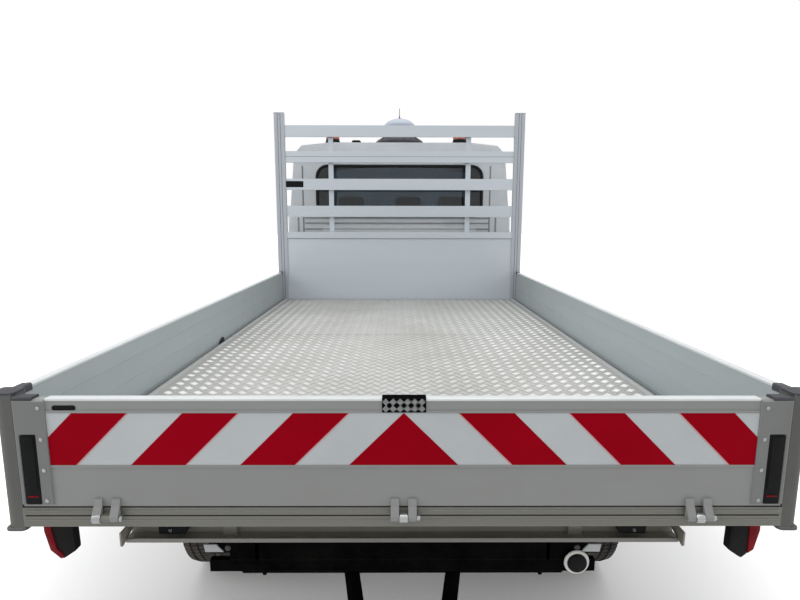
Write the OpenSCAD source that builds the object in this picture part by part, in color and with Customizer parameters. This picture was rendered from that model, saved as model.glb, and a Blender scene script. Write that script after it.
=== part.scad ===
// Dropside flatbed truck on a light chassis cab, two doors, single rear wheels.
// +Y is forward, +X is the truck's right side, Z is up, and the wheels stand on z = 0.
// The origin lies on the ground under the middle of the whole truck. All sizes are in millimetres.

/* [Load bed] */
// Length of the load floor between the headboard and the tailboard
bed_len = 3300; // [2800:50:3900]
// Width over the side boards
bed_w = 2110; // [2000:10:2200]
// Height of the load floor above the ground
floor_z = 950; // [900:5:1050]
// Thickness of the load floor
floor_t = 30; // [20:1:40]
// Height of the boards above the load floor
board_above = 240; // [200:5:400]
// How far the boards hang below the load floor
board_below = 52; // [40:1:60]
// Thickness of the boards
board_t = 25; // [20:1:35]
// Gap between a board and what it shuts against
board_gap = 5; // [4:0.5:8]
// Height of the edge rails, from the load floor down
edge_h = 110; // [100:1:130]
// Wall of the edge rails
edge_wall = 8; // [5:1:12]
// Width of the flange that the edge rails show beside the load floor
edge_flange = 20; // [15:1:30]
// Side of the square rear corner posts
post_side = 55; // [45:1:70]
// Thickness of the plastic caps on the corner posts
cap_t = 12; // [8:1:20]
// Width of the end profile at each end of a board
end_profile_w = 80; // [60:1:100]
// Distance of the hinge axes outside the board's face
hinge_out = 14; // [14:0.5:20]
// Radius of the hinge knuckles
knuckle_r = 9; // [8:0.5:9]
// Radius of the hinge pins
pin_r = 6; // [4:0.5:7]
// Running clearance round a pin
pin_clear = 0.08; // [0.05:0.01:0.1]
// Length of a hinge knuckle along its pin
knuckle_len = 22; // [18:1:40]
// Hinges on the tailboard
tail_hinges = 3; // [2:1:5]
// Hinges on each side board
side_hinges = 4; // [2:1:6]

/* [Headboard] */
// Height of the headboard posts above the load floor
head_h = 1590; // [1300:10:1700]
// Thickness of the headboard posts along the truck
head_t = 40; // [30:1:60]
// Width of a headboard post across the truck
head_post_w = 85; // [60:1:110]
// Height of the closed panel above the load floor
panel_h = 592; // [400:1:620]
// Height of the profile that tops the panel
panel_top_h = 54; // [40:1:80]
// Thickness of slats and panel
slat_t = 25; // [18:1:30]
// Height of a slat
slat_h = 94; // [60:1:100]
// Distance of each slat's lower edge above the load floor
slat_low = [723, 952, 1182, 1395];
// Width of the upright bars in front of the slats
bar_w = 42; // [30:1:60]
// Distance of each upright bar's middle from the truck's middle
bar_x = 592; // [400:1:700]

/* [Cab] */
// Length from the cab's rear wall to the bumper
cab_len = 2350; // [2250:10:2500]
// Gap between the headboard and the cab
cab_gap = 110; // [60:5:200]
// Width of the cab at its widest
cab_w = 2000; // [1900:10:2040]
// Height of the roof's crest
roof_z = 2345; // [2250:5:2450]
// Drop of the roof line from the middle to each side
roof_crown = 52; // [30:1:90]
// Height of the sills' lower edge
sill_z = 470; // [430:5:520]
// Height of the windscreen's foot
cowl_z = 1372; // [1320:1:1420]
// Thickness of the cab's walls
wall_t = 45; // [35:1:60]
// Thickness of the doors
door_t = 62; // [50:1:80]
// Gap round the doors, bonnet and wings
panel_gap = 8; // [7:0.5:10]
// Thickness of the wings and bonnet
skin_t = 28; // [20:1:40]
// Height of the cab floor
cab_floor_z = 690; // [660:5:720]
// Thickness of the glass
glass_t = 6; // [4:0.5:8]
// Height of the rear window's lower edge
rear_win_z = 1695; // [1650:5:1750]
// Height of the rear window
rear_win_h = 416; // [350:1:430]
// Width of the rear window
rear_win_w = 1450; // [1200:10:1500]

/* [Wheels and axles] */
// Outer radius of the tyres
wheel_r = 350; // [330:1:370]
// Width of the tyres
tyre_w = 225; // [195:5:235]
// Radius of the rim where the tyre sits
rim_r = 205; // [190:1:216]
// Distance between the middles of the left and right wheels
track = 1720; // [1680:10:1740]
// Distance between the axles
wheelbase = 3665; // [3300:5:4000]
// Distance from the bumper back to the front axle
front_overhang = 1000; // [950:10:1050]
// Radius of the wheel arches
arch_r = 430; // [410:1:450]
// Lean of the steering axes towards the middle, in degrees
kingpin_tilt = 11.4; // [9:0.1:13]

/* [Frame and hitch] */
// Distance from the middle to the outside of each frame rail
frame_x = 440; // [400:5:460]
// Depth of the frame rails
frame_h = 140; // [120:5:160]
// Width of the frame rails' flanges
frame_flange = 60; // [50:1:80]
// Wall of the frame rails
frame_wall = 7; // [5:1:10]
// Drop of the frame in front of the load bed
frame_drop = 120; // [100:5:140]
// Height of the long members between frame and cross members
long_h = 128; // [110:1:140]
// Cross members under the load floor
cross_count = 9; // [6:1:12]
// Radius of the hitch's cross tube
hitch_tube_r = 42; // [36:1:48]
// Height of the tow ball's middle above the ground
ball_z = 400; // [360:5:420]
// Radius of the tow ball
ball_r = 25; // [25:1:25]

/* [Hidden] */
$fn = 48;
// Gap that keeps solids of one node apart
seam = 0.3;

// Places along the truck, from the tow ball's back to the bumper's front
ball_behind = 75;
tail_to_ball_back = ball_behind + ball_r;
total_len = tail_to_ball_back + board_t + bed_len + head_t + cab_gap + cab_len;
y_front = total_len / 2;
y_tail = -total_len / 2 + tail_to_ball_back;
y_floor_0 = y_tail + board_t;
y_floor_1 = y_floor_0 + bed_len;
y_head_1 = y_floor_1 + head_t;
y_cab = y_head_1 + cab_gap;
y_front_axle = y_front - front_overhang;
y_rear_axle = y_front_axle - wheelbase;

// Places across and up the load bed
half_bed = bed_w / 2;
board_in_x = half_bed - board_t;
rail_face_x = board_in_x - board_gap;
half_floor = rail_face_x - edge_flange;
board_top_z = floor_z + board_above;
board_low_z = floor_z - board_below;
step_z = board_low_z - board_gap;
edge_low_z = floor_z - edge_h;
hinge_z = step_z - 21;
floor_low_z = floor_z - floor_t;
cross_low_z = edge_low_z + edge_wall;
frame_top_z = cross_low_z - long_h;
tail_half = half_bed - post_side;

// Places on the cab
half_cab = cab_w / 2;
y_door_front = y_front_axle - 262;
y_door_rear = y_cab + 150;
y_firewall = y_front_axle + 140;
y_screen_foot = y_front - 715;
y_screen_head = y_front - 1432;
screen_head_z = roof_z - 78;
y_roof_crest = y_cab + 560;
roof_long_r = 6000;
screen_r = 2300;
screen_slope = atan2(screen_head_z - cowl_z, y_screen_foot - y_screen_head);
belt_z = cowl_z + 18;
header_z = roof_z - 175;
hub_z = wheel_r;
half_track = track / 2;

// Extrudes a profile drawn in (y, z) across the truck, from x0 to x1
module across(x0, x1) {
    multmatrix([[0, 0, 1, x0], [1, 0, 0, 0], [0, 1, 0, 0], [0, 0, 0, 1]])
        linear_extrude(x1 - x0) children();
}

// Extrudes a profile drawn in (x, z) along the truck, from y0 to y1
module along(y0, y1) {
    translate([0, y1, 0]) rotate([90, 0, 0]) linear_extrude(y1 - y0) children();
}

// A box between two corners
module block(a, b) {
    translate(a) cube(b - a);
}

// A copy of the children on each side, s is 1 on the right and -1 on the left
module both_sides() {
    children();
    mirror([1, 0, 0]) children();
}

module side(s) {
    if (s > 0) children();
    else mirror([1, 0, 0]) children();
}

// A round bar from a to b
module bar(a, b, r) {
    d = b - a;
    translate(a)
        rotate([0, acos(d[2] / norm(d)), atan2(d[1], d[0])])
            cylinder(h = norm(d), r = r);
}

// Points of an arc round c, from angle a0 to a1
function arc(c, r, a0, a1, n = 6) = [for (i = [0:n]) let (a = a0 + (a1 - a0) * i / n) c + r * [cos(a), sin(a)]];

// A rectangle with round corners, as points
function round_rect(x0, z0, x1, z1, r, n = 6) = concat(
    arc([x1 - r, z0 + r], r, -90, 0, n), arc([x1 - r, z1 - r], r, 0, 90, n),
    arc([x0 + r, z1 - r], r, 90, 180, n), arc([x0 + r, z0 + r], r, 180, 270, n));

// Distance of the frame's rear end from the tailboard's outer face
frame_end = 205;
// Height at which the door's front edge starts to follow the windscreen, and its foremost upper corner
door_bend_z = belt_z + 190;
door_top_y = y_door_front - (header_z - door_bend_z) / tan(screen_slope);

// Colours of the materials
white = [0.93, 0.93, 0.92];
steel = [0.16, 0.16, 0.17];
alu = [0.72, 0.75, 0.78];
rubber = [0.05, 0.05, 0.05];
clear = [0.35, 0.45, 0.5, 0.5];

// Frame

// Side view of a frame rail, drawn smaller all round by o
module rail_side(o) {
    y0 = y_tail + frame_end;
    y1 = y_cab - 260;
    y2 = y_cab + 60;
    y3 = y_front - 142;
    lo = frame_h - o;
    polygon([[y0, frame_top_z - o], [y1, frame_top_z - o], [y2, frame_top_z - frame_drop - o],
        [y3, frame_top_z - frame_drop - o], [y3, frame_top_z - frame_drop - lo], [y2, frame_top_z - frame_drop - lo],
        [y1, frame_top_z - lo], [y0, frame_top_z - lo]]);
}

module frame_rails() {
    cross = [[y_tail + frame_end + 60, 0], [y_rear_axle - 420, 0], [y_rear_axle + 480, 0], [y_rear_axle + 1250, 0],
        [y_front - 182, frame_drop]];
    inner_x = frame_x - frame_wall - seam;
    color(steel) {
        both_sides() union() {
            difference() {
                across(frame_x - frame_flange, frame_x) rail_side(0);
                across(frame_x - frame_flange - 1, frame_x - frame_wall) rail_side(frame_wall);
            }
            // Pads that carry the cab
            for (y = [y_cab + 180, y_firewall - 60])
                translate([frame_x - 40, y, frame_top_z - frame_drop - 2])
                    cylinder(h = cab_low_z - frame_top_z + frame_drop + 2, r = 35);
        }
        for (c = cross) {
            low = frame_top_z - c[1] - frame_h + 15;
            block([-inner_x, c[0] - 40, low], [inner_x, c[0] + 40, low + frame_h - 30]);
        }
    }
}

cab_low_z = cab_floor_z - 50;
kingpin_x = half_track - hub_z * tan(kingpin_tilt);
stub_r = 28;

// Puts the children in the frame of the right steering axis, with its origin at hub height
module on_kingpin() {
    translate([kingpin_x, y_front_axle, hub_z]) rotate([0, -kingpin_tilt, 0]) children();
}

module front_subframe() {
    beam_low = 300;
    beam_top = 400;
    rail_low = frame_top_z - frame_drop - frame_h;
    color(steel) union() {
        block([-560, y_front_axle - 60, beam_low], [560, y_front_axle + 60, beam_top]);
        both_sides() {
            block([380, y_front_axle - 50, beam_top - 1], [440, y_front_axle + 50, rail_low]);
            block([240, y_front_axle + 59, beam_low + 20], [320, y_front_axle + 500, beam_top]);
            translate([0, y_front_axle - 30, 0]) along(0, 60)
                polygon([[540, 300], [540, 345], [620, 330], [740, 246], [790, 230], [800, 205], [770, 205], [640, 262]]);
            on_kingpin() {
                translate([0, 0, -140]) cylinder(h = 35, r = 30);
                translate([0, 0, -106]) cylinder(h = 46, r = 12);
            }
        }
        block([-frame_x, y_front_axle + 499, beam_low + 20], [frame_x, y_front_axle + 580, beam_top]);
        both_sides() block([380, y_front_axle + 505, beam_top - 1], [440, y_front_axle + 575, rail_low]);
    }
}

// The right knuckle with its stub axle and strut, all of which turn about the steering axis
module knuckle_right_shape() {
    difference() {
        union() {
            on_kingpin() translate([0, 0, -104.7]) cylinder(h = 165, r = 34);
            translate([kingpin_x - 10, y_front_axle, hub_z]) rotate([0, 90, 0]) cylinder(h = 945 - kingpin_x + 10, r = stub_r);
            block([672, y_front_axle - 24, 395], [kingpin_x, y_front_axle + 24, 445]);
            bar([700, y_front_axle, 400], [kingpin_x - 500 * sin(kingpin_tilt), y_front_axle, hub_z + 490], 27);
            on_kingpin() translate([0, 0, 440]) cylinder(h = 100, r = 45);
        }
        on_kingpin() translate([0, 0, -106]) cylinder(h = 48, r = 12 + pin_clear);
    }
}

module knuckle_right() {
    color(steel) knuckle_right_shape();
}

module knuckle_left() {
    color(steel) mirror([1, 0, 0]) knuckle_right_shape();
}

module rear_axle() {
    color(steel) union() {
        translate([-720, y_rear_axle, hub_z]) rotate([0, 90, 0]) cylinder(h = 1440, r = 52);
        translate([-945, y_rear_axle, hub_z]) rotate([0, 90, 0]) cylinder(h = 1890, r = stub_r);
        both_sides() translate([715, y_rear_axle, hub_z]) rotate([0, 90, 0]) cylinder(h = 70, r = 140);
        translate([0, y_rear_axle, hub_z]) rotate([0, 90, 0]) rotate_extrude()
            polygon([[0, -135], [90, -135], [150, -70], [150, 70], [90, 135], [0, 135]]);
        translate([0, y_rear_axle, hub_z]) rotate([-90, 0, 0]) cylinder(h = 230, r = 62);
        bar([0, y_rear_axle + 200, hub_z + 5], [0, y_front_axle - 410, 520], 38);
    }
}

// Side view of one spring leaf of half length n, lower by d than the main leaf
module leaf(n, d) {
    zc = hub_z + 52 + 40 - d;
    up = 110 * pow(n / 660, 2);
    pts = [for (i = [-8:8]) [y_rear_axle + n * i / 8, zc + up * pow(i / 8, 2)]];
    polygon(concat(pts, [for (i = [8:-1:-8]) pts[i + 8] + [0, 14]]));
}

module leaf_springs() {
    sx = 506;
    rail_low = frame_top_z - frame_h;
    color(steel) both_sides() union() {
        across(sx - 35, sx + 35) leaf(660, 0);
        across(sx - 35, sx + 35) leaf(520, 13);
        across(sx - 35, sx + 35) leaf(360, 26);
        block([sx - 45, y_rear_axle - 60, hub_z + 52 - 4 + 4.3], [sx + 45, y_rear_axle + 60, hub_z + 52 + 20]);
        // Brackets on the outside of the rail
        for (y = [-650, 650]) {
            translate([sx - 35, y_rear_axle + y, hub_z + 92 + 114]) rotate([0, 90, 0]) cylinder(h = 70, r = 22);
            block([frame_x, y_rear_axle + y - 40, hub_z + 206], [sx + 20, y_rear_axle + y + 40, frame_top_z - 20]);
        }
    }
}

module engine_block() {
    e0 = y_firewall + 23;
    color([0.3, 0.3, 0.31]) {
        block([-260, e0, 400], [260, e0 + 560, deck_z - 245]);
        block([-130, y_front_axle - 402, 430], [130, e0 - seam, 630]);
        block([-330, y_front - 205, frame_top_z - frame_drop - 15], [330, y_front - 165, 1040]);
    }
}

module fuel_tank() {
    y0 = y_rear_axle + 900;
    color([0.08, 0.08, 0.08]) union() {
        translate([frame_x + 20, y0, 420]) cube([380, 700, 240]);
        for (y = [y0 + 120, y0 + 520]) block([frame_x, y, 600], [frame_x + 30, y + 60, 700]);
    }
}

module exhaust() {
    y0 = y_rear_axle + 850;
    color(steel) mirror([1, 0, 0]) union() {
        translate([frame_x + 130, y0, 500]) rotate([-90, 0, 0]) cylinder(h = 620, r = 95);
        for (y = [y0 + 120, y0 + 460]) block([frame_x, y, 560], [frame_x + 130, y + 40, 590]);
        bar([frame_x + 130, y0 + 600, 480], [frame_x + 130, y_front_axle - 560, 425], 28);
        translate([frame_x + 130, y_front_axle - 560, 392]) cylinder(h = 66, r = 33);
        bar([frame_x + 130, y_front_axle - 560, 425], [170, y_front_axle - 260, 425], 27);
        bar([frame_x + 130, y0 + 20, 500], [frame_x + 420, y0 - 60, 450], 26);
    }
}

// Cab

function roof_line(y) = roof_z - pow(y - y_roof_crest, 2) / (2 * roof_long_r);

// Side view of the cab above the deck, from the rear wall to the windscreen's foot
cab_side = concat([[y_cab, cab_low_z]], [for (y = [y_cab:130:y_screen_head - 130]) [y, roof_line(y)]],
    [[y_screen_head - 70, roof_z - 30], [y_screen_head - 25, roof_z - 54], [y_screen_head, screen_head_z],
    [y_screen_foot, cowl_z], [y_screen_foot, cab_low_z]]);

// Half of the cab's cross section, from the sill to the roof's middle
cab_half = concat([[half_cab, sill_z - 10], [half_cab, belt_z + 60], [half_cab - 9, belt_z + 170],
    [half_cab - 64, roof_z - 199], [half_cab - 74, roof_z - 145], [half_cab - 98, roof_z - 95]],
    [for (x = [half_cab - 140:-215:0]) [x, roof_z - roof_crown * pow(x / (half_cab - 140), 2)]], [[0, roof_z]]);

module cab_section(o) {
    offset(delta = -o) polygon(concat(cab_half, [for (i = [len(cab_half) - 2:-1:0]) [-cab_half[i][0], cab_half[i][1]]]));
}

// Puts the children in the windscreen's frame: x across, y up the glass, z out of it
module on_screen() {
    translate([0, y_screen_foot, cowl_z]) mirror([0, 1, 0]) rotate([screen_slope, 0, 0]) children();
}

// Everything behind a curved screen of radius r
module behind_screen(r) {
    on_screen() translate([0, -600, 0]) translate([0, 0, -screen_r]) rotate([-90, 0, 0]) cylinder(h = 2600, r = r, $fn = 200);
}

screen_len = norm([y_screen_foot - y_screen_head, screen_head_z - cowl_z]);

module screen_outline(o) {
    offset(delta = o) polygon([[-790, 70], [790, 70], [800, 130], [742, screen_len - 80], [700, screen_len - 40],
        [-700, screen_len - 40], [-742, screen_len - 80], [-800, 130]]);
}

deck_z = cowl_z - 27;

// The cab as a closed volume, drawn smaller all round by o
module cab_volume(o) {
    intersection() {
        across(-half_cab, half_cab) offset(delta = -o) polygon(cab_side);
        along(y_cab, y_front) cab_section(o);
        union() {
            intersection() {
                behind_screen(screen_r - o);
                block([-half_cab, y_cab, deck_z - o], [half_cab, y_front, roof_z]);
            }
            block([-half_cab, y_cab, sill_z - 20], [half_cab, y_firewall - o, deck_z - o]);
        }
    }
}

// The round hollow over a right front wheel, drawn larger by o
module wheel_well(o) {
    translate([530 - o, y_front_axle, hub_z]) rotate([0, 90, 0]) cylinder(h = 600, r = arch_r + o);
}

// Outline of a door in side view, drawn larger all round by o
module door_outline(o) {
    c = 0.13 * (door_top_y - y_door_rear);
    offset(delta = o) polygon([[y_door_rear, sill_z + 90], [y_door_rear, header_z - c],
        [y_door_rear + 0.4 * c, header_z - 0.25 * c], [y_door_rear + c, header_z], [door_top_y - c, header_z],
        [door_top_y, header_z - 0.25 * c], [y_door_front, door_bend_z], [y_door_front, sill_z + 90]]);
}

// Width of the frame round the door's window
window_frame = 78;

module door_window(o) {
    offset(delta = o) intersection() {
        door_outline(-window_frame);
        polygon([[y_cab, belt_z + 30], [y_cab, roof_z], [y_front, roof_z], [y_front, belt_z + 30]]);
    }
}

// The layer of the right cab side between depths a and b under its skin
module side_layer(a, b) {
    difference() {
        intersection() {
            along(y_door_rear - 40, y_door_front + 40) cab_section(a);
            block([700, y_door_rear - 40, sill_z], [half_cab + 1, y_door_front + 40, header_z + 60]);
        }
        along(y_door_rear - 50, y_door_front + 50) cab_section(b);
    }
}

// Beads of the cab's rear wall
wall_beads = 6;
bead_step = (rear_win_z - 60 - cab_floor_z - 170) / wall_beads;
bead_half = 690;
bead_out = 8;

door_axis = [half_cab - 6, y_door_front - 20];
door_hinge_z = [760, 1330];

module cab_shell() {
    color(white) union() {
        difference() {
            union() {
                cab_volume(0);
                block([-half_cab + skin_t, y_firewall - 1, deck_z - 90], [half_cab - skin_t, y_screen_foot + 70, deck_z - 61]);
                block([-half_cab + skin_t, y_firewall - 1, deck_z - 90], [half_cab - skin_t, y_screen_foot + 2, deck_z]);
                both_sides() block([half_cab - 100, y_cab, sill_z], [half_cab, y_front_axle - arch_r + 40, cab_low_z + 1]);
                // Beads pressed into the rear wall
                for (i = [0:wall_beads - 1]) translate([0, 0, cab_floor_z + 170 + i * bead_step])
                    across(-bead_half, bead_half) polygon([[y_cab + 1, 0], [y_cab - bead_out, 12], [y_cab - bead_out, bead_step - 42],
                        [y_cab + 1, bead_step - 30]]);
            }
            // The room inside, which keeps clear of the wheel wells and the strut towers
            difference() {
                intersection() {
                    cab_volume(wall_t);
                    along(y_cab, y_front) cab_section(door_t);
                    block([-half_cab, y_cab, cab_floor_z], [half_cab, y_front, roof_z]);
                }
                both_sides() {
                    wheel_well(wall_t);
                    block([600, y_front_axle - 110, cab_floor_z], [half_cab, y_front_axle + 200, 960]);
                }
            }
            both_sides() {
                wheel_well(0);
                on_kingpin() translate([0, 0, 300]) cylinder(h = 262, r = 62);
                // Room for the wings
                block([half_cab - skin_t, y_door_front + panel_gap, sill_z - 30], [half_cab + 1, y_front, deck_z + 1]);
                // Door opening
                across(half_cab - 220, half_cab + 1) door_outline(panel_gap);
            }
            // Windscreen with the rebate that holds its edge
            on_screen() translate([0, 0, -300]) linear_extrude(400) screen_outline(0);
            difference() {
                on_screen() translate([0, 0, -300]) linear_extrude(400) screen_outline(18);
                behind_screen(screen_r - glass_t - 4.3);
            }
            // Rear window with its rebate
            along(y_cab - 1, y_cab + wall_t + 40) rear_window_outline(0);
            along(y_cab - 1, y_cab + 3 + glass_t) rear_window_outline(14);
        }
        // Hinge lugs and pins of the doors
        both_sides() for (z = door_hinge_z) {
            block([half_cab - 62, door_axis[1] - 6, z - 11], [door_axis[0], door_axis[1] + 6, z + 11]);
            block([half_cab - 62, door_axis[1] - 6, z - 11], [half_cab - 40, y_door_front + panel_gap + 5, z + 11]);
            translate([door_axis[0], door_axis[1], z - 40]) cylinder(h = 80, r = 5);
            translate([door_axis[0], door_axis[1], z - 11]) cylinder(h = 22, r = 8);
        }
        // Hinge lugs and pins of the bonnet
        both_sides() for (x = [560]) {
            block([x - 12, bonnet_axis[0] - 9, deck_z - 70], [x + 12, bonnet_axis[0] + 9, bonnet_axis[1]]);
            across(x - 12, x + 12) translate(bonnet_axis) circle(r = 9);
            across(x - 36, x + 36) translate(bonnet_axis) circle(r = 5);
        }
    }
}

bonnet_axis = [y_screen_foot + 51, deck_z - 45];

module rear_window_outline(o) {
    offset(delta = o) polygon(round_rect(-rear_win_w / 2, rear_win_z, rear_win_w / 2, rear_win_z + rear_win_h, 90));
}

module cab_glass() {
    color(clear) {
        intersection() {
            on_screen() translate([0, 0, -300]) linear_extrude(400) screen_outline(18);
            difference() {
                behind_screen(screen_r - 4);
                behind_screen(screen_r - 4 - glass_t);
            }
        }
        along(y_cab + 3, y_cab + 3 + glass_t) rear_window_outline(14);
    }
}

// The right door: a full outer layer, a smaller inner layer, a window and notches for the hinges
module door_shape() {
    difference() {
        union() {
            intersection() {
                side_layer(0, door_t / 2);
                across(half_cab - 220, half_cab + 1) door_outline(0);
            }
            intersection() {
                side_layer(door_t / 2 - 1, door_t);
                across(half_cab - 220, half_cab + 1) intersection() {
                    door_outline(0);
                    polygon([[y_door_rear + 16, 0], [y_door_rear + 16, 3000], [y_door_front, 3000], [y_door_front, 0]]);
                }
            }
            for (z = door_hinge_z) translate([door_axis[0], door_axis[1], z - 40]) cylinder(h = 80, r = 9);
        }
        translate([half_cab - 300, y_front_axle, hub_z]) rotate([0, 90, 0]) cylinder(h = 400, r = arch_r + panel_gap);
        across(half_cab - 220, half_cab + 1) door_window(0);
        // Bowl behind the handle
        translate([half_cab + 42, y_door_rear + 130, belt_z - 95]) rotate([0, 90, 0]) rotate([0, 0, 90])
            translate([0, 0, -64]) cylinder(h = 60, r1 = 34, r2 = 68);
        // Crease below the waist
        along(y_door_rear - 1, y_door_front + 1)
            polygon([[half_cab + 1, belt_z - 200], [half_cab - 7, belt_z - 206], [half_cab - 7, belt_z - 212], [half_cab + 1, belt_z - 240]]);
        intersection() {
            side_layer(28, 28 + glass_t);
            across(half_cab - 220, half_cab + 1) door_window(12);
        }
        for (z = door_hinge_z) {
            block([half_cab - 90, door_axis[1] - 13, z - 14], [half_cab + 10, y_door_front + 1, z + 14]);
            translate([door_axis[0], door_axis[1], z - 41]) cylinder(h = 82, r = 5 + pin_clear);
        }
    }
    // Handle across its bowl
    translate([half_cab - 5, 0, belt_z - 108])
        linear_extrude(26) polygon([[0, y_door_rear + 40], [12, y_door_rear + 52], [16, y_door_rear + 85], [16, y_door_rear + 175],
            [12, y_door_rear + 208], [0, y_door_rear + 220], [0, y_door_rear + 205], [6, y_door_rear + 190], [6, y_door_rear + 70],
            [0, y_door_rear + 55]]);
    // Mirror on its arm
    union() {
        across(half_cab - 2, half_cab + 14) polygon([[y_door_front - 190, belt_z + 2], [y_door_front - 80, belt_z + 2],
            [y_door_front - 90, belt_z + 70], [y_door_front - 150, belt_z + 90]]);
        bar([half_cab + 5, y_door_front - 140, belt_z + 40], [half_cab + 100, y_door_front - 110, belt_z + 75], 14);
        mirror_housing();
    }
}

// A mirror housing whose back narrows to the front, round at its corners
module mirror_housing() {
    z0 = belt_z + 30;
    intersection() {
        along(y_door_front - 150, y_door_front - 40)
            polygon(round_rect(half_cab + 38, z0, half_cab + 188, z0 + 300, 34));
        linear_extrude(roof_z) polygon([[half_cab + 38, y_door_front - 150], [half_cab + 188, y_door_front - 150],
            [half_cab + 184, y_door_front - 105], [half_cab + 150, y_door_front - 62], [half_cab + 80, y_door_front - 50],
            [half_cab + 45, y_door_front - 75]]);
        across(half_cab, half_cab + 200) polygon([[y_door_front - 151, z0], [y_door_front - 80, z0 + 8], [y_door_front - 44, z0 + 70],
            [y_door_front - 44, z0 + 240], [y_door_front - 80, z0 + 292], [y_door_front - 151, z0 + 300]]);
    }
}

module door_right() {
    color(white) door_shape();
}

module door_left() {
    color(white) mirror([1, 0, 0]) door_shape();
}

module door_glass_right() {
    color(clear) intersection() {
        side_layer(28, 28 + glass_t);
        across(half_cab - 220, half_cab + 1) door_window(12);
    }
}

module door_glass_left() {
    mirror([1, 0, 0]) door_glass_right();
}

// The nose in front of the doors

nose_side = [[y_door_front + panel_gap, 330], [y_door_front + panel_gap, deck_z], [y_screen_foot + 43, deck_z - 4],
    [y_front - 460, deck_z - 50], [y_front - 285, deck_z - 112], [y_front - 175, deck_z - 185],
    [y_front - 115, deck_z - 262], [y_front - 82, deck_z - 345], [y_front - 55, deck_z - 450],
    [y_front - 36, deck_z - 550], [y_front - 12, deck_z - 605], [y_front, deck_z - 700], [y_front, 450],
    [y_front - 8, 380], [y_front - 40, 330]];
nose_plan = [[half_cab, y_door_front], [half_cab, y_front_axle + arch_r], [half_cab - 14, y_front - 400],
    [half_cab - 48, y_front - 275], [half_cab - 108, y_front - 175], [half_cab - 215, y_front - 95],
    [half_cab - 400, y_front - 38], [half_cab - 650, y_front - 9], [0, y_front]];
nose_half = [[half_cab, 320], [half_cab, deck_z - 105], [half_cab - 8, deck_z - 45], [half_cab - 30, deck_z], [0, deck_z + 5]];

function both_halves(p) = concat(p, [for (i = [len(p) - 1:-1:0]) if (p[i][0] > 0) [-p[i][0], p[i][1]]]);

module nose_volume(o) {
    intersection() {
        across(-half_cab, half_cab) offset(delta = -o) polygon(nose_side);
        along(y_door_front - 10, y_front + 1) offset(delta = -o) polygon(both_halves(nose_half));
        translate([0, 0, 300]) linear_extrude(1200) offset(delta = -o) polygon(both_halves(nose_plan));
    }
}

lamp_low = 846;
lamp_top = deck_z - 251;
lamp_x = 494;
bonnet_x = 780;

module bonnet() {
    color(white) difference() {
        union() {
            intersection() {
                difference() {
                    nose_volume(0);
                    nose_volume(skin_t);
                }
                block([-bonnet_x, y_screen_foot + 43, lamp_top + 4], [bonnet_x, y_front, deck_z + 10]);
            }
            both_sides() for (x = [536, 584]) {
                across(x - 11, x + 11) translate(bonnet_axis) circle(r = 9);
                block([x - 11, bonnet_axis[0] - 9, bonnet_axis[1]], [x + 11, bonnet_axis[0] + 9, deck_z - 20]);
            }
        }
        both_sides() across(520, 600) translate(bonnet_axis) circle(r = 5 + pin_clear);
    }
}

module front_wings() {
    color(white) difference() {
        intersection() {
            difference() {
                nose_volume(0);
                nose_volume(skin_t);
            }
            both_sides() block([500, y_door_front, 400], [half_cab, y_front - 60, deck_z + 10]);
        }
        both_sides() translate([500, y_front_axle, hub_z]) rotate([0, 90, 0]) cylinder(h = 600, r = arch_r);
        block([-half_cab + skin_t, y_door_front - 10, 300], [half_cab - skin_t, y_screen_foot + 72, 1500]);
        block([-bonnet_x - 6, y_screen_foot, 300], [bonnet_x + 6, y_front, 1500]);
        block([-half_cab, y_front - 355, 300], [half_cab, y_front, lamp_top + 4]);
        block([-half_cab, y_front_axle + 300, 300], [half_cab, y_front, lamp_low]);
    }
}

module headlamps() {
    color([0.8, 0.82, 0.85]) intersection() {
        difference() {
            nose_volume(0);
            nose_volume(90);
        }
        both_sides() block([lamp_x, y_front - 350, lamp_low], [half_cab, y_front, lamp_top]);
    }
}

module grille() {
    color([0.06, 0.06, 0.06]) difference() {
        intersection() {
            difference() {
                nose_volume(0);
                nose_volume(45);
            }
            block([-lamp_x, y_front - 300, lamp_low], [lamp_x, y_front, lamp_top]);
        }
        for (i = [0:2]) block([-lamp_x + 40, y_front - 400, lamp_low + 50 + 65 * i], [lamp_x - 40, y_front, lamp_low + 90 + 65 * i]);
    }
}

module front_bumper() {
    color([0.2, 0.2, 0.21]) difference() {
        union() {
            intersection() {
                difference() {
                    nose_volume(0);
                    nose_volume(50);
                }
                difference() {
                    block([-half_cab, y_front_axle + 300, 320], [half_cab, y_front, lamp_low]);
                    translate([0, 0, 300]) linear_extrude(100) offset(delta = -50) polygon(both_halves(nose_plan));
                }
            }
            both_sides() block([frame_x - frame_flange, y_front - 142, 480], [frame_x, y_front - 30, 580]);
        }
        both_sides() translate([500, y_front_axle, hub_z]) rotate([0, 90, 0]) cylinder(h = 600, r = arch_r + 6);
        // Socket of the towing eye
        translate([frame_x - frame_flange / 2, 0, 530]) rotate([-90, 0, 0]) {
            translate([0, 0, y_front - 140]) cylinder(h = 100, r = 11);
            translate([0, 0, y_front - 70]) cylinder(h = 100, r = 32);
        }
        block([-300, y_front - 60, 440], [300, y_front + 1, 560]);
    }
}

module dashboard() {
    color([0.12, 0.12, 0.13]) difference() {
        across(-half_cab + door_t, half_cab - door_t)
            polygon([[y_firewall - 342, deck_z - 235], [y_firewall - 322, deck_z - 105], [y_firewall - 250, deck_z - 55],
                [y_firewall - wall_t, deck_z - 50], [y_firewall - wall_t, deck_z - 345], [y_firewall - 240, deck_z - 345]]);
        column_hole();
    }
}

column_foot = [-450, y_firewall - 300, deck_z - 235];
column_lean = 50;

module on_column() {
    translate(column_foot) rotate([column_lean, 0, 0]) children();
}

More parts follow.
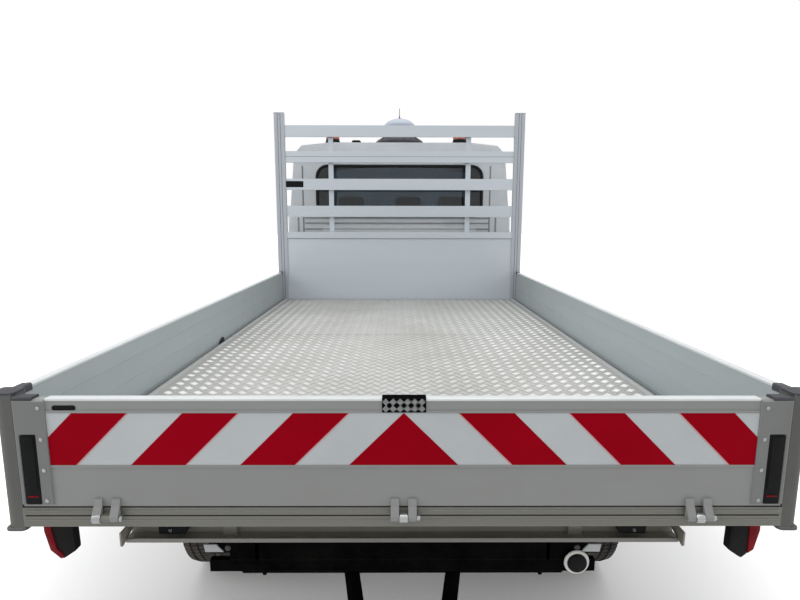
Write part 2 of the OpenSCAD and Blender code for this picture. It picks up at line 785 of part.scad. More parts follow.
module column_hole() {
    on_column() translate([0, 0, -60]) cylinder(h = 300, r = 34 + pin_clear);
}

module steering_wheel() {
    color([0.08, 0.08, 0.08]) on_column() union() {
        translate([0, 0, -59]) cylinder(h = 229, r = 34);
        translate([0, 0, 165]) cylinder(h = 40, r = 60);
        translate([0, 0, 190]) rotate_extrude() translate([195, 0]) circle(r = 15);
        for (a = [0, 120, 240]) rotate([0, 0, a]) block([0, -14, 178], [190, 14, 196]);
    }
}

seat_z = cab_floor_z + 380;

module seats() {
    color([0.15, 0.15, 0.17]) for (p = [[-690, 480], [-130, 820]]) union() {
        block([p[0] + 20, y_cab + 330, cab_floor_z], [p[0] + p[1] - 20, y_cab + 800, seat_z - 120]);
        across(p[0], p[0] + p[1]) polygon([[y_cab + 290, seat_z - 121], [y_cab + 840, seat_z - 121], [y_cab + 856, seat_z - 60],
            [y_cab + 850, seat_z - 18], [y_cab + 815, seat_z], [y_cab + 400, seat_z - 20], [y_cab + 400, seat_z + 60],
            [y_cab + 330, seat_z + 400], [y_cab + 285, seat_z + 585], [y_cab + 255, seat_z + 612], [y_cab + 205, seat_z + 606],
            [y_cab + 180, seat_z + 570], [y_cab + 250, seat_z + 150]]);
        for (h = p[1] > 600 ? [210, 610] : [240])
            across(p[0] + h - 120, p[0] + h + 120)
                polygon([[y_cab + 205, seat_z + 600], [y_cab + 262, seat_z + 600], [y_cab + 268, seat_z + 700], [y_cab + 245, seat_z + 780],
                    [y_cab + 190, seat_z + 785], [y_cab + 165, seat_z + 740]]);
    }
}

// Distance of the two beacons from the middle
beacon_x = [-606, 546];

module roof_fittings() {
    color([0.9, 0.5, 0.05]) difference() {
        union() {
            for (x = beacon_x) translate([x, y_cab + 170, roof_z - 65]) {
                cylinder(h = 75, r = 66);
                translate([0, 0, 74]) cylinder(h = 100, r = 58);
            }
            // Dome with its skirt and the whip antenna on top
            translate([0, y_cab + 232, roof_z - 45]) rotate_extrude()
                polygon([[0, 0], [220, 0], [220, 50], [128, 103], [118, 130], [138, 165], [146, 190], [145, 208], [120, 240],
                    [70, 257], [12, 263], [5, 275], [2.5, 290], [2.5, 352], [0, 352]]);
        }
        cab_volume(0);
    }
}

// Load bed

// Profile of an edge rail, with its outer face at x = 0
module rail_profile() {
    b = board_t + board_gap;
    f = b + edge_flange;
    w = edge_wall;
    polygon([[-f, floor_z], [-b, floor_z], [-b, step_z], [0, step_z], [0, edge_low_z], [-60, edge_low_z],
        [-60, edge_low_z + w], [-w, edge_low_z + w], [-w, step_z - w], [-b - w, step_z - w], [-b - w, floor_low_z - w],
        [-f - 30, floor_low_z - w], [-f - 30, floor_low_z], [-b - w, floor_low_z], [-b - w, floor_z - w], [-f, floor_z - w]]);
}

// Middles of the hinges, along the tailboard and along a side board
tail_hinge_at = [for (i = [0:tail_hinges - 1]) -775 + 1550 * i / (tail_hinges - 1)];
side_y0 = y_tail + post_side + board_gap;
side_y1 = y_floor_1 - board_gap;
side_hinge_at = [for (i = [0:side_hinges - 1]) side_y0 + 260 + (side_y1 - side_y0 - 520) * i / (side_hinges - 1)];

// Turns a part drawn at a right edge, x out from the rail's face and y along it, to the tail
module at_tail() {
    translate([0, y_tail, 0]) rotate([0, 0, -90]) children();
}

module at_right() {
    translate([half_bed, 0, 0]) children();
}

module rail_lug(p) {
    k = knuckle_len / 2;
    along(p - k, p + k) union() {
        translate([hinge_out, hinge_z]) circle(r = knuckle_r);
        polygon([[-2, hinge_z - knuckle_r], [hinge_out, hinge_z - knuckle_r], [hinge_out, hinge_z + knuckle_r],
            [-2, hinge_z + knuckle_r]]);
    }
    along(p - 3 * k - 1, p + 3 * k + 1) translate([hinge_out, hinge_z]) circle(r = pin_r);
}

// The two knuckles of a board's hinge, each with a short strap at the board's foot
module board_knuckles(p) {
    k = knuckle_len / 2;
    for (c = [p - 2 * k - 1, p + 2 * k + 1]) along(c - k, c + k) difference() {
        union() {
            translate([hinge_out, hinge_z]) circle(r = knuckle_r);
            polygon([[-1, board_low_z + 22], [board_gap, board_low_z + 22], [9, board_low_z + 4], [hinge_out + knuckle_r, hinge_z + 6],
                [hinge_out + knuckle_r, hinge_z], [hinge_out - knuckle_r, hinge_z], [board_gap + 1, board_low_z + 1], [-1, board_low_z + 1]]);
        }
        translate([hinge_out, hinge_z]) circle(r = pin_r + pin_clear);
    }
}

// How far the tailboard's end profiles stand out
end_out = 5;
// Depth of the corner in which the rear rail runs past the side rails
corner_d = board_t + board_gap + edge_flange + 30.3;

module edge_rails() {
    color(alu) {
        both_sides() union() {
            at_right() along(y_tail + corner_d, y_floor_1) rail_profile();
            at_right() for (p = side_hinge_at) rail_lug(p);
        }
        union() {
            at_tail() along(-tail_half, tail_half) rail_profile();
            at_tail() for (p = tail_hinge_at) rail_lug(p);
        }
    }
}

module board_profile() {
    g = board_top_z - 36;
    polygon([[-board_t, board_low_z], [0, board_low_z], [0, g - 4], [-2, g - 2], [-2, g + 2], [0, g + 4], [0, board_top_z - 3],
        [-3, board_top_z], [3 - board_t, board_top_z], [-board_t, board_top_z - 3]]);
}

module tailboard() {
    color(alu) at_tail() union() {
        along(-tail_half + board_gap, tail_half - board_gap) board_profile();
        // End profiles with their latch wells, and the lips of the band between them
        for (e = [-1, 1]) difference() {
            a = e * (tail_half - board_gap - end_profile_w);
            b = e * (tail_half - board_gap);
            along(min(a, b), max(a, b)) polygon([[-1, board_low_z + 4], [end_out, board_low_z + 8], [end_out, board_top_z - 4],
                [end_out - 3, board_top_z], [-1, board_top_z]]);
            along(min(b - e * 52, b - e * 9), max(b - e * 52, b - e * 9))
                translate([end_out - 2, board_low_z + 8]) square([10, board_top_z - board_low_z - 100]);
        }
        for (z = [floor_z + 56, floor_z + 204]) along(-tail_half + board_gap + end_profile_w - 1, tail_half - board_gap - end_profile_w + 1)
            translate([-1, z]) square([3, 7]);
        for (p = tail_hinge_at) board_knuckles(p);
    }
}

module dropside_shape() {
    at_right() union() {
        along(side_y0, side_y1) board_profile();
        for (p = side_hinge_at) board_knuckles(p);
    }
}

module dropside_right() {
    color(alu) dropside_shape();
}

module dropside_left() {
    color(alu) mirror([1, 0, 0]) dropside_shape();
}

module corner_posts() {
    s = post_side;
    color(alu) both_sides() translate([half_bed - s, y_tail, edge_low_z - 6]) {
        linear_extrude(board_top_z - edge_low_z + 6 + cap_t)
            polygon(concat([[0, s], [0, 0]], arc([s - 35, 35], 35, -90, 0, 8), [[s, s]]));
        translate([0, 0, 6]) linear_extrude(step_z - edge_low_z) polygon([[seam, s - 1], [s, s - 1], [s, corner_d], [seam, corner_d]]);
    }
}

cross_at = [for (i = [0:cross_count - 1]) y_tail + 170 + (bed_len - 240) * i / (cross_count - 1)];

module bed_subframe() {
    x1 = half_bed - edge_wall - 8;
    x0 = half_floor - 32;
    top = floor_low_z - edge_wall - 0.2;
    color(steel) union() {
        for (y = cross_at) difference() {
            along(y - 25, y + 25)
                polygon([[-x1, cross_low_z], [x1, cross_low_z], [x1, step_z - edge_wall - 4], [x0, step_z - edge_wall - 4], [x0, floor_low_z],
                    [-x0, floor_low_z], [-x0, step_z - edge_wall - 4], [-x1, step_z - edge_wall - 4]]);
            along(y - 18, y + 30)
                polygon([[-x0 + 40, cross_low_z + 7], [x0 - 40, cross_low_z + 7], [x0 - 40, floor_low_z - 7], [-x0 + 40, floor_low_z - 7]]);
        }
        both_sides() block([frame_x - frame_flange, y_tail + frame_end, frame_top_z], [frame_x, y_floor_1 - 40, cross_low_z - seam]);
    }
}

module bed_floor() {
    y0 = y_floor_0 + board_gap + edge_flange;
    color(alu) difference() {
        block([-half_floor, y0, floor_low_z], [half_floor, y_floor_1, floor_z]);
        both_sides() block([tail_half - seam, y0 - 1, floor_low_z - 1], [half_floor + 1, y_tail + post_side + seam, floor_z + 1]);
    }
}

head_x = half_bed + 10;
head_in = head_x - head_post_w;

// A groove 4 deep and 5 wide in an edge drawn towards +x, with its middle at a
function groove(a, b) = [[a - 2.5, b], [a - 2.5, b + 4], [a + 2.5, b + 4], [a + 2.5, b]];

module headboard_posts() {
    w = head_post_w;
    t = head_t;
    color(alu) both_sides() translate([head_in, y_floor_1, edge_low_z]) linear_extrude(floor_z + head_h - edge_low_z)
        polygon(concat([[0, 0]], groove(w * 0.36, 0), groove(w * 0.62, 0),
            [[w - 6, 0], [w, 6], [w, t - 6], [w - 6, t]], [for (i = [1:-1:0]) each [for (q = groove(w * (0.36 + 0.26 * i), 0)) [2 * w * (0.36 + 0.26 * i) - q[0], t - q[1]]]],
            [[0, t]]));
}

module headboard_boards() {
    y0 = y_floor_1 + (head_t - slat_t) / 2;
    color(alu) {
        block([-head_in, y0, floor_z - 40], [head_in, y0 + slat_t, floor_z + panel_h - panel_top_h - seam]);
        block([-head_in, y_floor_1 + 2, floor_z + panel_h - panel_top_h], [head_in, y_head_1 - 2, floor_z + panel_h]);
        for (i = [0:len(slat_low) - 1]) difference() {
            block([-head_in, y0, floor_z + slat_low[i]], [head_in, y0 + slat_t, floor_z + slat_low[i] + slat_h]);
            // The third slat is made of two profiles
            if (i == 2) block([-head_in - 1, y0 - 1, floor_z + slat_low[i] + slat_h / 2], [head_in + 1, y0 + 5, floor_z + slat_low[i] + slat_h / 2 + 4]);
        }
        for (s = [-1, 1]) block([s * bar_x - bar_w / 2, y0 + slat_t + seam, floor_z + panel_h + seam],
            [s * bar_x + bar_w / 2, y0 + slat_t + 12, floor_z + slat_low[3] + slat_h]);
    }
}

// Rear end

module light_bar() {
    y0 = y_tail + 145;
    lo = frame_top_z - 20;
    bar_half = 823;
    color(alu) union() {
        across(-bar_half, bar_half)
            polygon([[y0, lo], [y0 + 50, lo], [y0 + 50, lo + 43], [y0 + 45, lo + 43], [y0 + 45, lo + 5], [y0 + 5, lo + 5],
                [y0 + 5, lo + 11], [y0, lo + 11]]);
        both_sides() {
            across(bar_half - 5, bar_half)
                polygon([[y0 - 38, lo + 2], [y0 - 30, lo - 6], [y0 + 50, lo + 20], [y0 + 50, lo + 43], [y0 - 38, lo + 43]]);
            block([500, y0 + 30, lo + 4], [540, y0 + 50, cross_low_z]);
        }
    }
    color(rubber) both_sides() {
        along(y0 + 12, y0 + 45 - seam) polygon([[632, lo + 43], [644, lo + 17], [731, lo + 17], [731, lo + 43]]);
        translate([0, y_tail + 85, 0]) along(0, 30)
            polygon([[half_bed - 119, edge_low_z], [half_bed - 43, edge_low_z], [half_bed - 43, edge_low_z - 65],
                [half_bed - 56, edge_low_z - 125], [half_bed - 88, edge_low_z - 154], [half_bed - 126, edge_low_z - 128],
                [half_bed - 124, edge_low_z - 65]]);
    }
}

module tow_hitch() {
    yt = y_tail + 300;
    y_plate = y_tail + frame_end - 20;
    zt = frame_top_z - frame_h - hitch_tube_r - seam;
    color(steel) union() {
        translate([0, yt, zt]) rotate([0, 90, 0]) rotate_extrude()
            polygon([[0, -530], [hitch_tube_r - 12, -530], [hitch_tube_r, -518], [hitch_tube_r, 518], [hitch_tube_r - 12, 530], [0, 530]]);
        both_sides() {
            across(frame_x, frame_x + 10)
                polygon([[y_plate, zt + 38], [yt - 60, zt + 10], [yt - 40, zt - 30], [yt + 40, zt - 30], [yt + 60, zt + 10],
                    [yt + 60, frame_top_z - 30], [y_plate, frame_top_z - 30]]);
            bar([172, yt, zt], [132, y_tail + 120, ball_z + 60], 24);
            bar([132, y_tail + 120, ball_z + 70], [118, y_tail + 75, ball_z - 10], 22);
        }
        // Cross plate behind the ends of the frame rails
        block([-590, y_plate, zt + 38], [590, y_tail + frame_end - seam, zt + 76]);
        along(y_tail + 60, y_tail + 80)
            polygon([[-165, ball_z - 30], [-130, ball_z - 80], [130, ball_z - 80], [165, ball_z - 30], [165, ball_z + 30],
                [110, ball_z + 60], [-110, ball_z + 60], [-165, ball_z + 30]]);
        block([-70, y_tail + 70, ball_z - 60], [70, y_tail + 160, ball_z + 10]);
        bar([0, y_tail + 70, ball_z - 62], [0, y_tail - ball_behind + 8, ball_z - 62], 18);
        bar([0, y_tail - ball_behind, ball_z - 74], [0, y_tail - ball_behind, ball_z], 14);
        translate([0, y_tail - ball_behind, ball_z]) sphere(r = ball_r);
    }
}

module mudguards() {
    color(rubber) both_sides() union() {
        translate([half_track - 130, y_rear_axle, hub_z]) rotate([0, 90, 0])
            rotate([0, 0, 90]) rotate_extrude(angle = 180) translate([wheel_r + 62, 0]) square([10, 255]);
        for (y = [-300, 0, 300]) {
            z = hub_z + sqrt(pow(wheel_r + 67, 2) - y * y);
            block([frame_x, y_rear_axle + y - 12, min(z - 12, frame_top_z - 30)], [half_track - 120, y_rear_axle + y + 12, min(z + 12, frame_top_z)]);
        }
    }
}

// Wheels, drawn about the x axis with +x outwards

module tyre_shape() {
    w = tyre_w / 2;
    rotate([0, 90, 0]) rotate_extrude()
        polygon([[rim_r, -82], [rim_r + 14, -82], [rim_r + 30, -w + 10], [rim_r + 60, -w], [rim_r + 95, -w + 1],
            [wheel_r - 18, -w + 9], [wheel_r - 4, -w + 22], [wheel_r, -w + 38], [wheel_r, w - 38], [wheel_r - 4, w - 22],
            [wheel_r - 18, w - 9], [rim_r + 95, w - 1], [rim_r + 60, w], [rim_r + 30, w - 10], [rim_r + 14, 82], [rim_r, 82]]);
}

module rim_shape() {
    r = rim_r - 0.2;
    rotate([0, 90, 0]) difference() {
        rotate_extrude()
            polygon([[stub_r + pin_clear, 15], [60, 15], [60, 45], [110, 52], [r - 22, 40], [r - 12, -70], [r - 12, -92], [r + 10, -92],
                [r + 10, -82.2], [r, -82.2], [r, 82.2], [r + 10, 82.2], [r + 10, 92], [r - 12, 92], [r - 18, 52], [110, 64], [60, 60],
                [stub_r + pin_clear, 60]]);
        for (a = [0:45:315]) rotate([0, 0, a]) translate([142, 0, 0]) cylinder(h = 100, r = 18);
    }
}

module at_wheel(s, y) {
    side(s) translate([half_track, y, hub_z]) children();
}

module front_tyre_left() {
    color(rubber) at_wheel(-1, y_front_axle) tyre_shape();
}

module front_tyre_right() {
    color(rubber) at_wheel(1, y_front_axle) tyre_shape();
}

module rear_tyre_left() {
    color(rubber) at_wheel(-1, y_rear_axle) tyre_shape();
}

module rear_tyre_right() {
    color(rubber) at_wheel(1, y_rear_axle) tyre_shape();
}

module front_rim_left() {
    color(alu) at_wheel(-1, y_front_axle) rim_shape();
}

module front_rim_right() {
    color(alu) at_wheel(1, y_front_axle) rim_shape();
}

module rear_rim_left() {
    color(alu) at_wheel(-1, y_rear_axle) rim_shape();
}

module rear_rim_right() {
    color(alu) at_wheel(1, y_rear_axle) rim_shape();
}

frame_rails();
front_subframe();
rear_axle();
leaf_springs();
engine_block();
fuel_tank();
exhaust();
cab_shell();
cab_glass();
front_wings();
front_bumper();
grille();
headlamps();
dashboard();
seats();
roof_fittings();
bed_subframe();
bed_floor();
edge_rails();
headboard_posts();
headboard_boards();
corner_posts();
light_bar();
tow_hitch();
mudguards();
tailboard();
dropside_left();
dropside_right();
door_left();
door_right();
door_glass_left();
door_glass_right();
bonnet();
steering_wheel();
knuckle_left();
knuckle_right();
front_tyre_left();
front_tyre_right();
rear_tyre_left();
rear_tyre_right();
front_rim_left();
front_rim_right();
rear_rim_left();
rear_rim_right();
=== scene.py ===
"""Looks of the dropside flatbed truck, built round its CAD model in the same frame."""

import logging
import math
from dataclasses import dataclass
from enum import Enum

import bmesh
import bpy
from mathutils import Matrix, Vector


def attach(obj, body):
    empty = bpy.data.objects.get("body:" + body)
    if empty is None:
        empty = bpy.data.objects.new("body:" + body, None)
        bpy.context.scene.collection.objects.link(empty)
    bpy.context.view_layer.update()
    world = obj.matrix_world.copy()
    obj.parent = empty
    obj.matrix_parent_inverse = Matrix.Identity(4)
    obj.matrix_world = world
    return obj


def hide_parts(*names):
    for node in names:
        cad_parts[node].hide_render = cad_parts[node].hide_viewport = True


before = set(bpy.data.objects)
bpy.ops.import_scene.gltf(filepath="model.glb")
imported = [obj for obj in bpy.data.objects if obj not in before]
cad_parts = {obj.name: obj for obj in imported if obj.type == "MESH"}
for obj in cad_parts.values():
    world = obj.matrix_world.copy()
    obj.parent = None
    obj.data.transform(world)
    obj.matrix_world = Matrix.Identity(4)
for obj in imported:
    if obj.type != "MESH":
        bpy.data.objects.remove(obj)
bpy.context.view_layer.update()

LOG = logging.getLogger("truck")
MM = 0.001
CREASE = 38.0
ORIGIN = (0.0, 0.0, 0.0)
EVEN = (1.0, 1.0, 1.0)
WHITE = (1.0, 1.0, 1.0, 1.0)
Point = tuple[float, float, float]
Flat = tuple[float, float]
Paint = tuple[int, int, int]


class Grain(Enum):
    """Kinds of fine relief that a finish can have."""

    PAINT = "paint"
    BRUSHED_X = "brushed along x"
    BRUSHED_Y = "brushed along y"
    BRUSHED_Z = "brushed along z"
    CAST = "cast"
    MOULDED = "moulded"
    WOVEN = "woven"
    RIBBED = "ribbed"


class Axis(Enum):
    """Axes of the truck's frame."""

    X = 0
    Y = 1
    Z = 2


@dataclass(frozen=True)
class Plan:
    """Places that several sub-assemblies share, in millimetres, as in the CAD model.

    Names ending in _y, _z and _x are places on that axis; half_ ones are distances from the middle.
    """

    tail_y: float = -2862.5
    nose_y: float = 2962.5
    floor_y0: float = -2782.5
    floor_y1: float = 462.5
    head_y0: float = 462.5
    cab_y: float = 612.5
    front_axle_y: float = 1962.5
    rear_axle_y: float = -1702.5
    door_rear_y: float = 762.5
    door_front_y: float = 1700.5
    firewall_y: float = 2102.5
    screen_foot_y: float = 2247.5
    screen_head_y: float = 1530.5
    floor_z: float = 950.0
    board_top_z: float = 1190.0
    hinge_z: float = 872.0
    edge_low_z: float = 840.0
    half_floor: float = 1005.0
    half_bed: float = 1055.0
    half_tail: float = 995.0
    half_cab: float = 1000.0
    cowl_z: float = 1372.0
    deck_z: float = 1345.0
    header_z: float = 2170.0
    cab_floor_z: float = 690.0
    hub_z: float = 350.0
    half_track: float = 860.0


PLAN = Plan()


# Meshes


class Shape:
    """Closed solids collected in millimetres, which become one mesh in metres."""

    def __init__(self) -> None:
        """Starts empty."""
        self.verts: list[Vector] = []
        self.faces: list[tuple[int, ...]] = []

    def add(self, verts: list, faces: list, turn: Matrix | None = None) -> "Shape":
        """Adds a solid.

        Args:
            verts: Its corners.
            faces: Its faces as indices of those corners.
            turn: Where it goes, or None to leave it as drawn.

        Returns:
            This shape.
        """
        base = len(self.verts)
        self.verts += [turn @ Vector(v) if turn else Vector(v) for v in verts]
        self.faces += [tuple(base + i for i in f) for f in faces]
        return self

    def box(self, lo: Point, hi: Point, turn: Matrix | None = None) -> "Shape":
        """Adds a box between two corners.

        Args:
            lo: One corner.
            hi: The opposite corner.
            turn: Where it goes, if moved.

        Returns:
            This shape.
        """
        verts = [(x, y, z) for x in (lo[0], hi[0]) for y in (lo[1], hi[1]) for z in (lo[2], hi[2])]
        faces = [(0, 1, 3, 2), (4, 6, 7, 5), (0, 4, 5, 1), (2, 3, 7, 6), (0, 2, 6, 4), (1, 5, 7, 3)]
        return self.add(verts, faces, turn)

    def prism(self, outline: list[Flat], axis: Axis, lo: float, hi: float, turn: Matrix | None = None) -> "Shape":
        """Adds a straight prism.

        Args:
            outline: Its section, as the two coordinates other than the axis, in their order.
            axis: The axis that it runs along.
            lo: Where it starts on that axis.
            hi: Where it ends.
            turn: Where it goes, or None.

        Returns:
            This shape.
        """
        place = {
            Axis.X: lambda u, v, w: (w, u, v),
            Axis.Y: lambda u, v, w: (u, w, v),
            Axis.Z: lambda u, v, w: (u, v, w),
        }[axis]
        count = len(outline)
        verts = [place(u, v, lo) for u, v in outline] + [place(u, v, hi) for u, v in outline]
        faces: list[tuple[int, ...]] = [tuple(range(count)), tuple(range(2 * count - 1, count - 1, -1))]
        faces += [(i, (i + 1) % count, (i + 1) % count + count, i + count) for i in range(count)]
        return self.add(verts, faces, turn)

    def lathe(self, profile: list[Flat], centre: Point, axis: Axis, steps: int = 32, loop: bool = False) -> "Shape":
        """Adds a turned solid.

        Args:
            profile: Points of (radius, place along the axis); open ends are closed with a disc.
            centre: A point on the axis from which places along it count.
            axis: The axis of turning.
            steps: Segments round the axis.
            loop: True where the profile is a closed loop clear of the axis.

        Returns:
            This shape.
        """
        def at(radius: float, along: float, angle: float) -> Point:
            """A point of the turned surface.

            Args:
                radius: Distance from the axis.
                along: Place on the axis.
                angle: Turn round it.

            Returns:
                The point.
            """
            c, s = radius * math.cos(angle), radius * math.sin(angle)
            ring = {Axis.X: (along, c, s), Axis.Y: (c, along, s), Axis.Z: (c, s, along)}[axis]
            return tuple(centre[i] + ring[i] for i in range(3))

        rows = len(profile)
        verts = [at(r, a, 2 * math.pi * k / steps) for r, a in profile for k in range(steps)]
        faces: list[tuple[int, ...]] = []
        for row in range(rows if loop else rows - 1):
            nxt = (row + 1) % rows
            for k in range(steps):
                j = (k + 1) % steps
                faces.append((row * steps + k, row * steps + j, nxt * steps + j, nxt * steps + k))
        if not loop:
            faces.append(tuple(range(steps)))
            faces.append(tuple(range((rows - 1) * steps, rows * steps)))
        return self.add(verts, faces)

    def tube(self, path: list[Point], radius: float, steps: int = 8, closed: bool = False) -> "Shape":
        """Adds a round bar along a path.

        Args:
            path: Its middle line.
            radius: Its radius.
            steps: Segments round it.
            closed: True where the path comes back to its start.

        Returns:
            This shape.
        """
        line = [Vector(p) for p in path]
        count = len(line)
        up = Vector((0.0, 0.0, 1.0))
        verts: list[Vector] = []
        for i, p in enumerate(line):
            back = line[i - 1] if i or closed else p
            ahead = line[(i + 1) % count] if i < count - 1 or closed else p
            run = (ahead - back).normalized()
            side = run.cross(up)
            if side.length < 0.2:
                side = run.cross(Vector((0.0, 1.0, 0.0)))
            side.normalize()
            up = side.cross(run).normalized()
            verts += [
                p + radius * (math.cos(a) * side + math.sin(a) * up)
                for a in (2 * math.pi * k / steps for k in range(steps))
            ]
        faces: list[tuple[int, ...]] = []
        for i in range(count if closed else count - 1):
            n = (i + 1) % count
            for k in range(steps):
                j = (k + 1) % steps
                faces.append((i * steps + k, i * steps + j, n * steps + j, n * steps + k))
        if not closed:
            faces.append(tuple(range(steps)))
            faces.append(tuple(range((count - 1) * steps, count * steps)))
        return self.add(verts, faces)

    def cushion(self, lo: Point, hi: Point, crown: float, seams: list[float], cells: int = 18) -> "Shape":
        """Adds a padded form, crowned on top, with sewn channels along it.

        Args:
            lo: Lowest corner.
            hi: Highest corner.
            crown: How far the middle of the top rises over its edges.
            seams: Places of the channels across it, from -1 to 1.
            cells: Cells along each edge.

        Returns:
            This shape.
        """
        boxy, channel = 7, 9
        middle = (Vector(lo) + Vector(hi)) / 2
        half = (Vector(hi) - Vector(lo)) / 2
        index: dict[tuple[float, ...], int] = {}
        verts: list[Vector] = []
        faces: list[tuple[int, ...]] = []

        def corner(p: tuple[float, ...]) -> int:
            """The number of the crowned point that belongs to a point of the unit cube.

            Args:
                p: The point of the cube.

            Returns:
                Its number.
            """
            if p not in index:
                length = sum(abs(c) ** boxy for c in p) ** (1 / boxy)
                q = Vector(p) / length
                top = max(q.z, 0.0)
                q.z += top * crown / half.z * (1 - q.x * q.x) * (1 - q.y * q.y)
                for s in seams:
                    q.z -= top * channel / half.z * math.exp(-(((q.x - s) * half.x / channel) ** 2))
                index[p] = len(verts)
                verts.append(middle + Vector(q[i] * half[i] for i in range(3)))
            return index[p]

        for axis in range(3):
            for sign in (-1.0, 1.0):
                for a in range(cells):
                    for b in range(cells):
                        quad = []
                        for da, db in ((0, 0), (1, 0), (1, 1), (0, 1)):
                            p = [0.0, 0.0, 0.0]
                            p[axis] = sign
                            p[(axis + 1) % 3] = round(2 * (a + da) / cells - 1, 6)
                            p[(axis + 2) % 3] = round(2 * (b + db) / cells - 1, 6)
                            quad.append(corner(tuple(p)))
                        faces.append(tuple(quad))
        return self.add(verts, faces)

    def mirrored(self) -> "Shape":
        """Adds a copy of everything so far on the other side of the truck, and returns this shape."""
        return self.add([(-v.x, v.y, v.z) for v in self.verts], [tuple(f) for f in self.faces])

    def flipped(self) -> "Shape":
        """Mirrors everything so far to the other side of the truck, and returns this shape."""
        self.verts = [Vector((-v.x, v.y, v.z)) for v in self.verts]
        return self

    def moved(self, turn: Matrix) -> "Shape":
        """Moves everything so far, and returns this shape."""
        self.verts = [turn @ v for v in self.verts]
        return self

    def mesh(self, name: str, bevel: float = 0.0, crease: float = CREASE) -> bpy.types.Mesh:
        """Makes the mesh.

        Args:
            name: Its name.
            bevel: Width of the rounding on its edges, in millimetres.
            crease: Angle above which an edge stays sharp, in degrees.

        Returns:
            The mesh, in metres, with its faces pointing outwards.
        """
        data = bpy.data.meshes.new(name)
        data.from_pydata([v * MM for v in self.verts], [], self.faces)
        work = bmesh.new()
        work.from_mesh(data)
        bmesh.ops.recalc_face_normals(work, faces=work.faces)
        if bevel:
            limit = math.radians(25)
            sharp = [e for e in work.edges if e.is_manifold and e.calc_face_angle(0.0) > limit]
            bmesh.ops.bevel(
                work, geom=sharp, offset=bevel * MM, segments=2, profile=0.6, affect="EDGES", clamp_overlap=True,
            )
            bmesh.ops.recalc_face_normals(work, faces=work.faces)
        work.to_mesh(data)
        work.free()
        data.shade_smooth()
        data.set_sharp_from_angle(angle=math.radians(crease))
        return data


def arc(centre: Flat, radius: float, start: float, end: float, steps: int = 6) -> list[Flat]:
    """Points of an arc, with its angles in degrees."""
    turns = [math.radians(start + (end - start) * i / steps) for i in range(steps + 1)]
    return [(centre[0] + radius * math.cos(t), centre[1] + radius * math.sin(t)) for t in turns]


def round_rect(lo: Flat, hi: Flat, radius: float, steps: int = 5) -> list[Flat]:
    """Points of a rectangle with round corners.

    Args:
        lo: Lower left corner.
        hi: Upper right corner.
        radius: Radius of the corners.
        steps: Steps in a corner.

    Returns:
        The points.
    """
    r = radius
    return (
        arc((hi[0] - r, lo[1] + r), r, -90, 0, steps)
        + arc((hi[0] - r, hi[1] - r), r, 0, 90, steps)
        + arc((lo[0] + r, hi[1] - r), r, 90, 180, steps)
        + arc((lo[0] + r, lo[1] + r), r, 180, 270, steps)
    )


# Finishes


def linear(paint: Paint) -> tuple[float, float, float, float]:
    """A colour of three bytes as the renderer's linear colour."""
    scaled = [c / 255 for c in paint]
    return (*[c / 12.92 if c <= 0.04045 else ((c + 0.055) / 1.055) ** 2.4 for c in scaled], 1.0)


class Wiring:
    """A short way to place and join shader or geometry nodes."""

    def __init__(self, tree: bpy.types.NodeTree) -> None:
        """Keeps the tree that the nodes go into."""
        self.tree = tree

    def node(self, kind: str, **values: object) -> bpy.types.Node:
        """Adds a node.

        Args:
            kind: The node's type.
            values: Its properties by name, and its inputs as in join.

        Returns:
            The node, with plain inputs set and sockets joined.
        """
        made = self.tree.nodes.new(kind)
        inputs: dict[str, object] = {}
        for key, value in values.items():
            if hasattr(made, key):
                setattr(made, key, value)
            else:
                inputs[key] = value
        self.join(made, **inputs)
        return made

    def join(self, made: bpy.types.Node, **values: object) -> None:
        """Joins or sets a node's inputs.

        Args:
            made: The node.
            values: Sockets or plain values, by input name with spaces as double underscores, or by i and a number.
        """
        for key, value in values.items():
            numbered = key[0] == "i" and key[1:].isdigit()
            socket = made.inputs[int(key[1:]) if numbered else key.replace("__", " ")]
            if isinstance(value, bpy.types.NodeSocket):
                self.tree.links.new(value, socket)
            else:
                socket.default_value = value

    def math(self, operation: str, first: object, second: object = 0.5, third: object = 0.5) -> bpy.types.NodeSocket:
        """Adds a Math node and returns its output."""
        return self.node("ShaderNodeMath", operation=operation, i0=first, i1=second, i2=third).outputs[0]

    def vector(self, operation: str, **values: object) -> bpy.types.NodeSocket:
        """Adds a Vector Math node and returns its vector."""
        return self.node("ShaderNodeVectorMath", operation=operation, **values).outputs[0]

    def noise(self, place: object, **values: object) -> bpy.types.NodeSocket:
        """Adds a Noise Texture at a place and returns its grey value."""
        return self.node("ShaderNodeTexNoise", Vector=place, **values).outputs["Fac"]

    def ramp(self, value: object, low: float, high: float, **values: object) -> bpy.types.NodeSocket:
        """Adds a Map Range node from two limits and returns its output."""
        return self.node("ShaderNodeMapRange", Value=value, From__Min=low, From__Max=high, **values).outputs[0]

    def mix(self, mask: object, first: object, second: object) -> bpy.types.NodeSocket:
        """Mixes two colours by a mask and returns the colour."""
        return self.node("ShaderNodeMix", data_type="RGBA", i0=mask, i6=first, i7=second).outputs[2]

    def group(self, name: str, **values: object) -> bpy.types.bpy_prop_collection:
        """Adds one of the shared groups and returns its outputs."""
        return self.node("ShaderNodeGroup", node_tree=Groups.get(name), **values).outputs


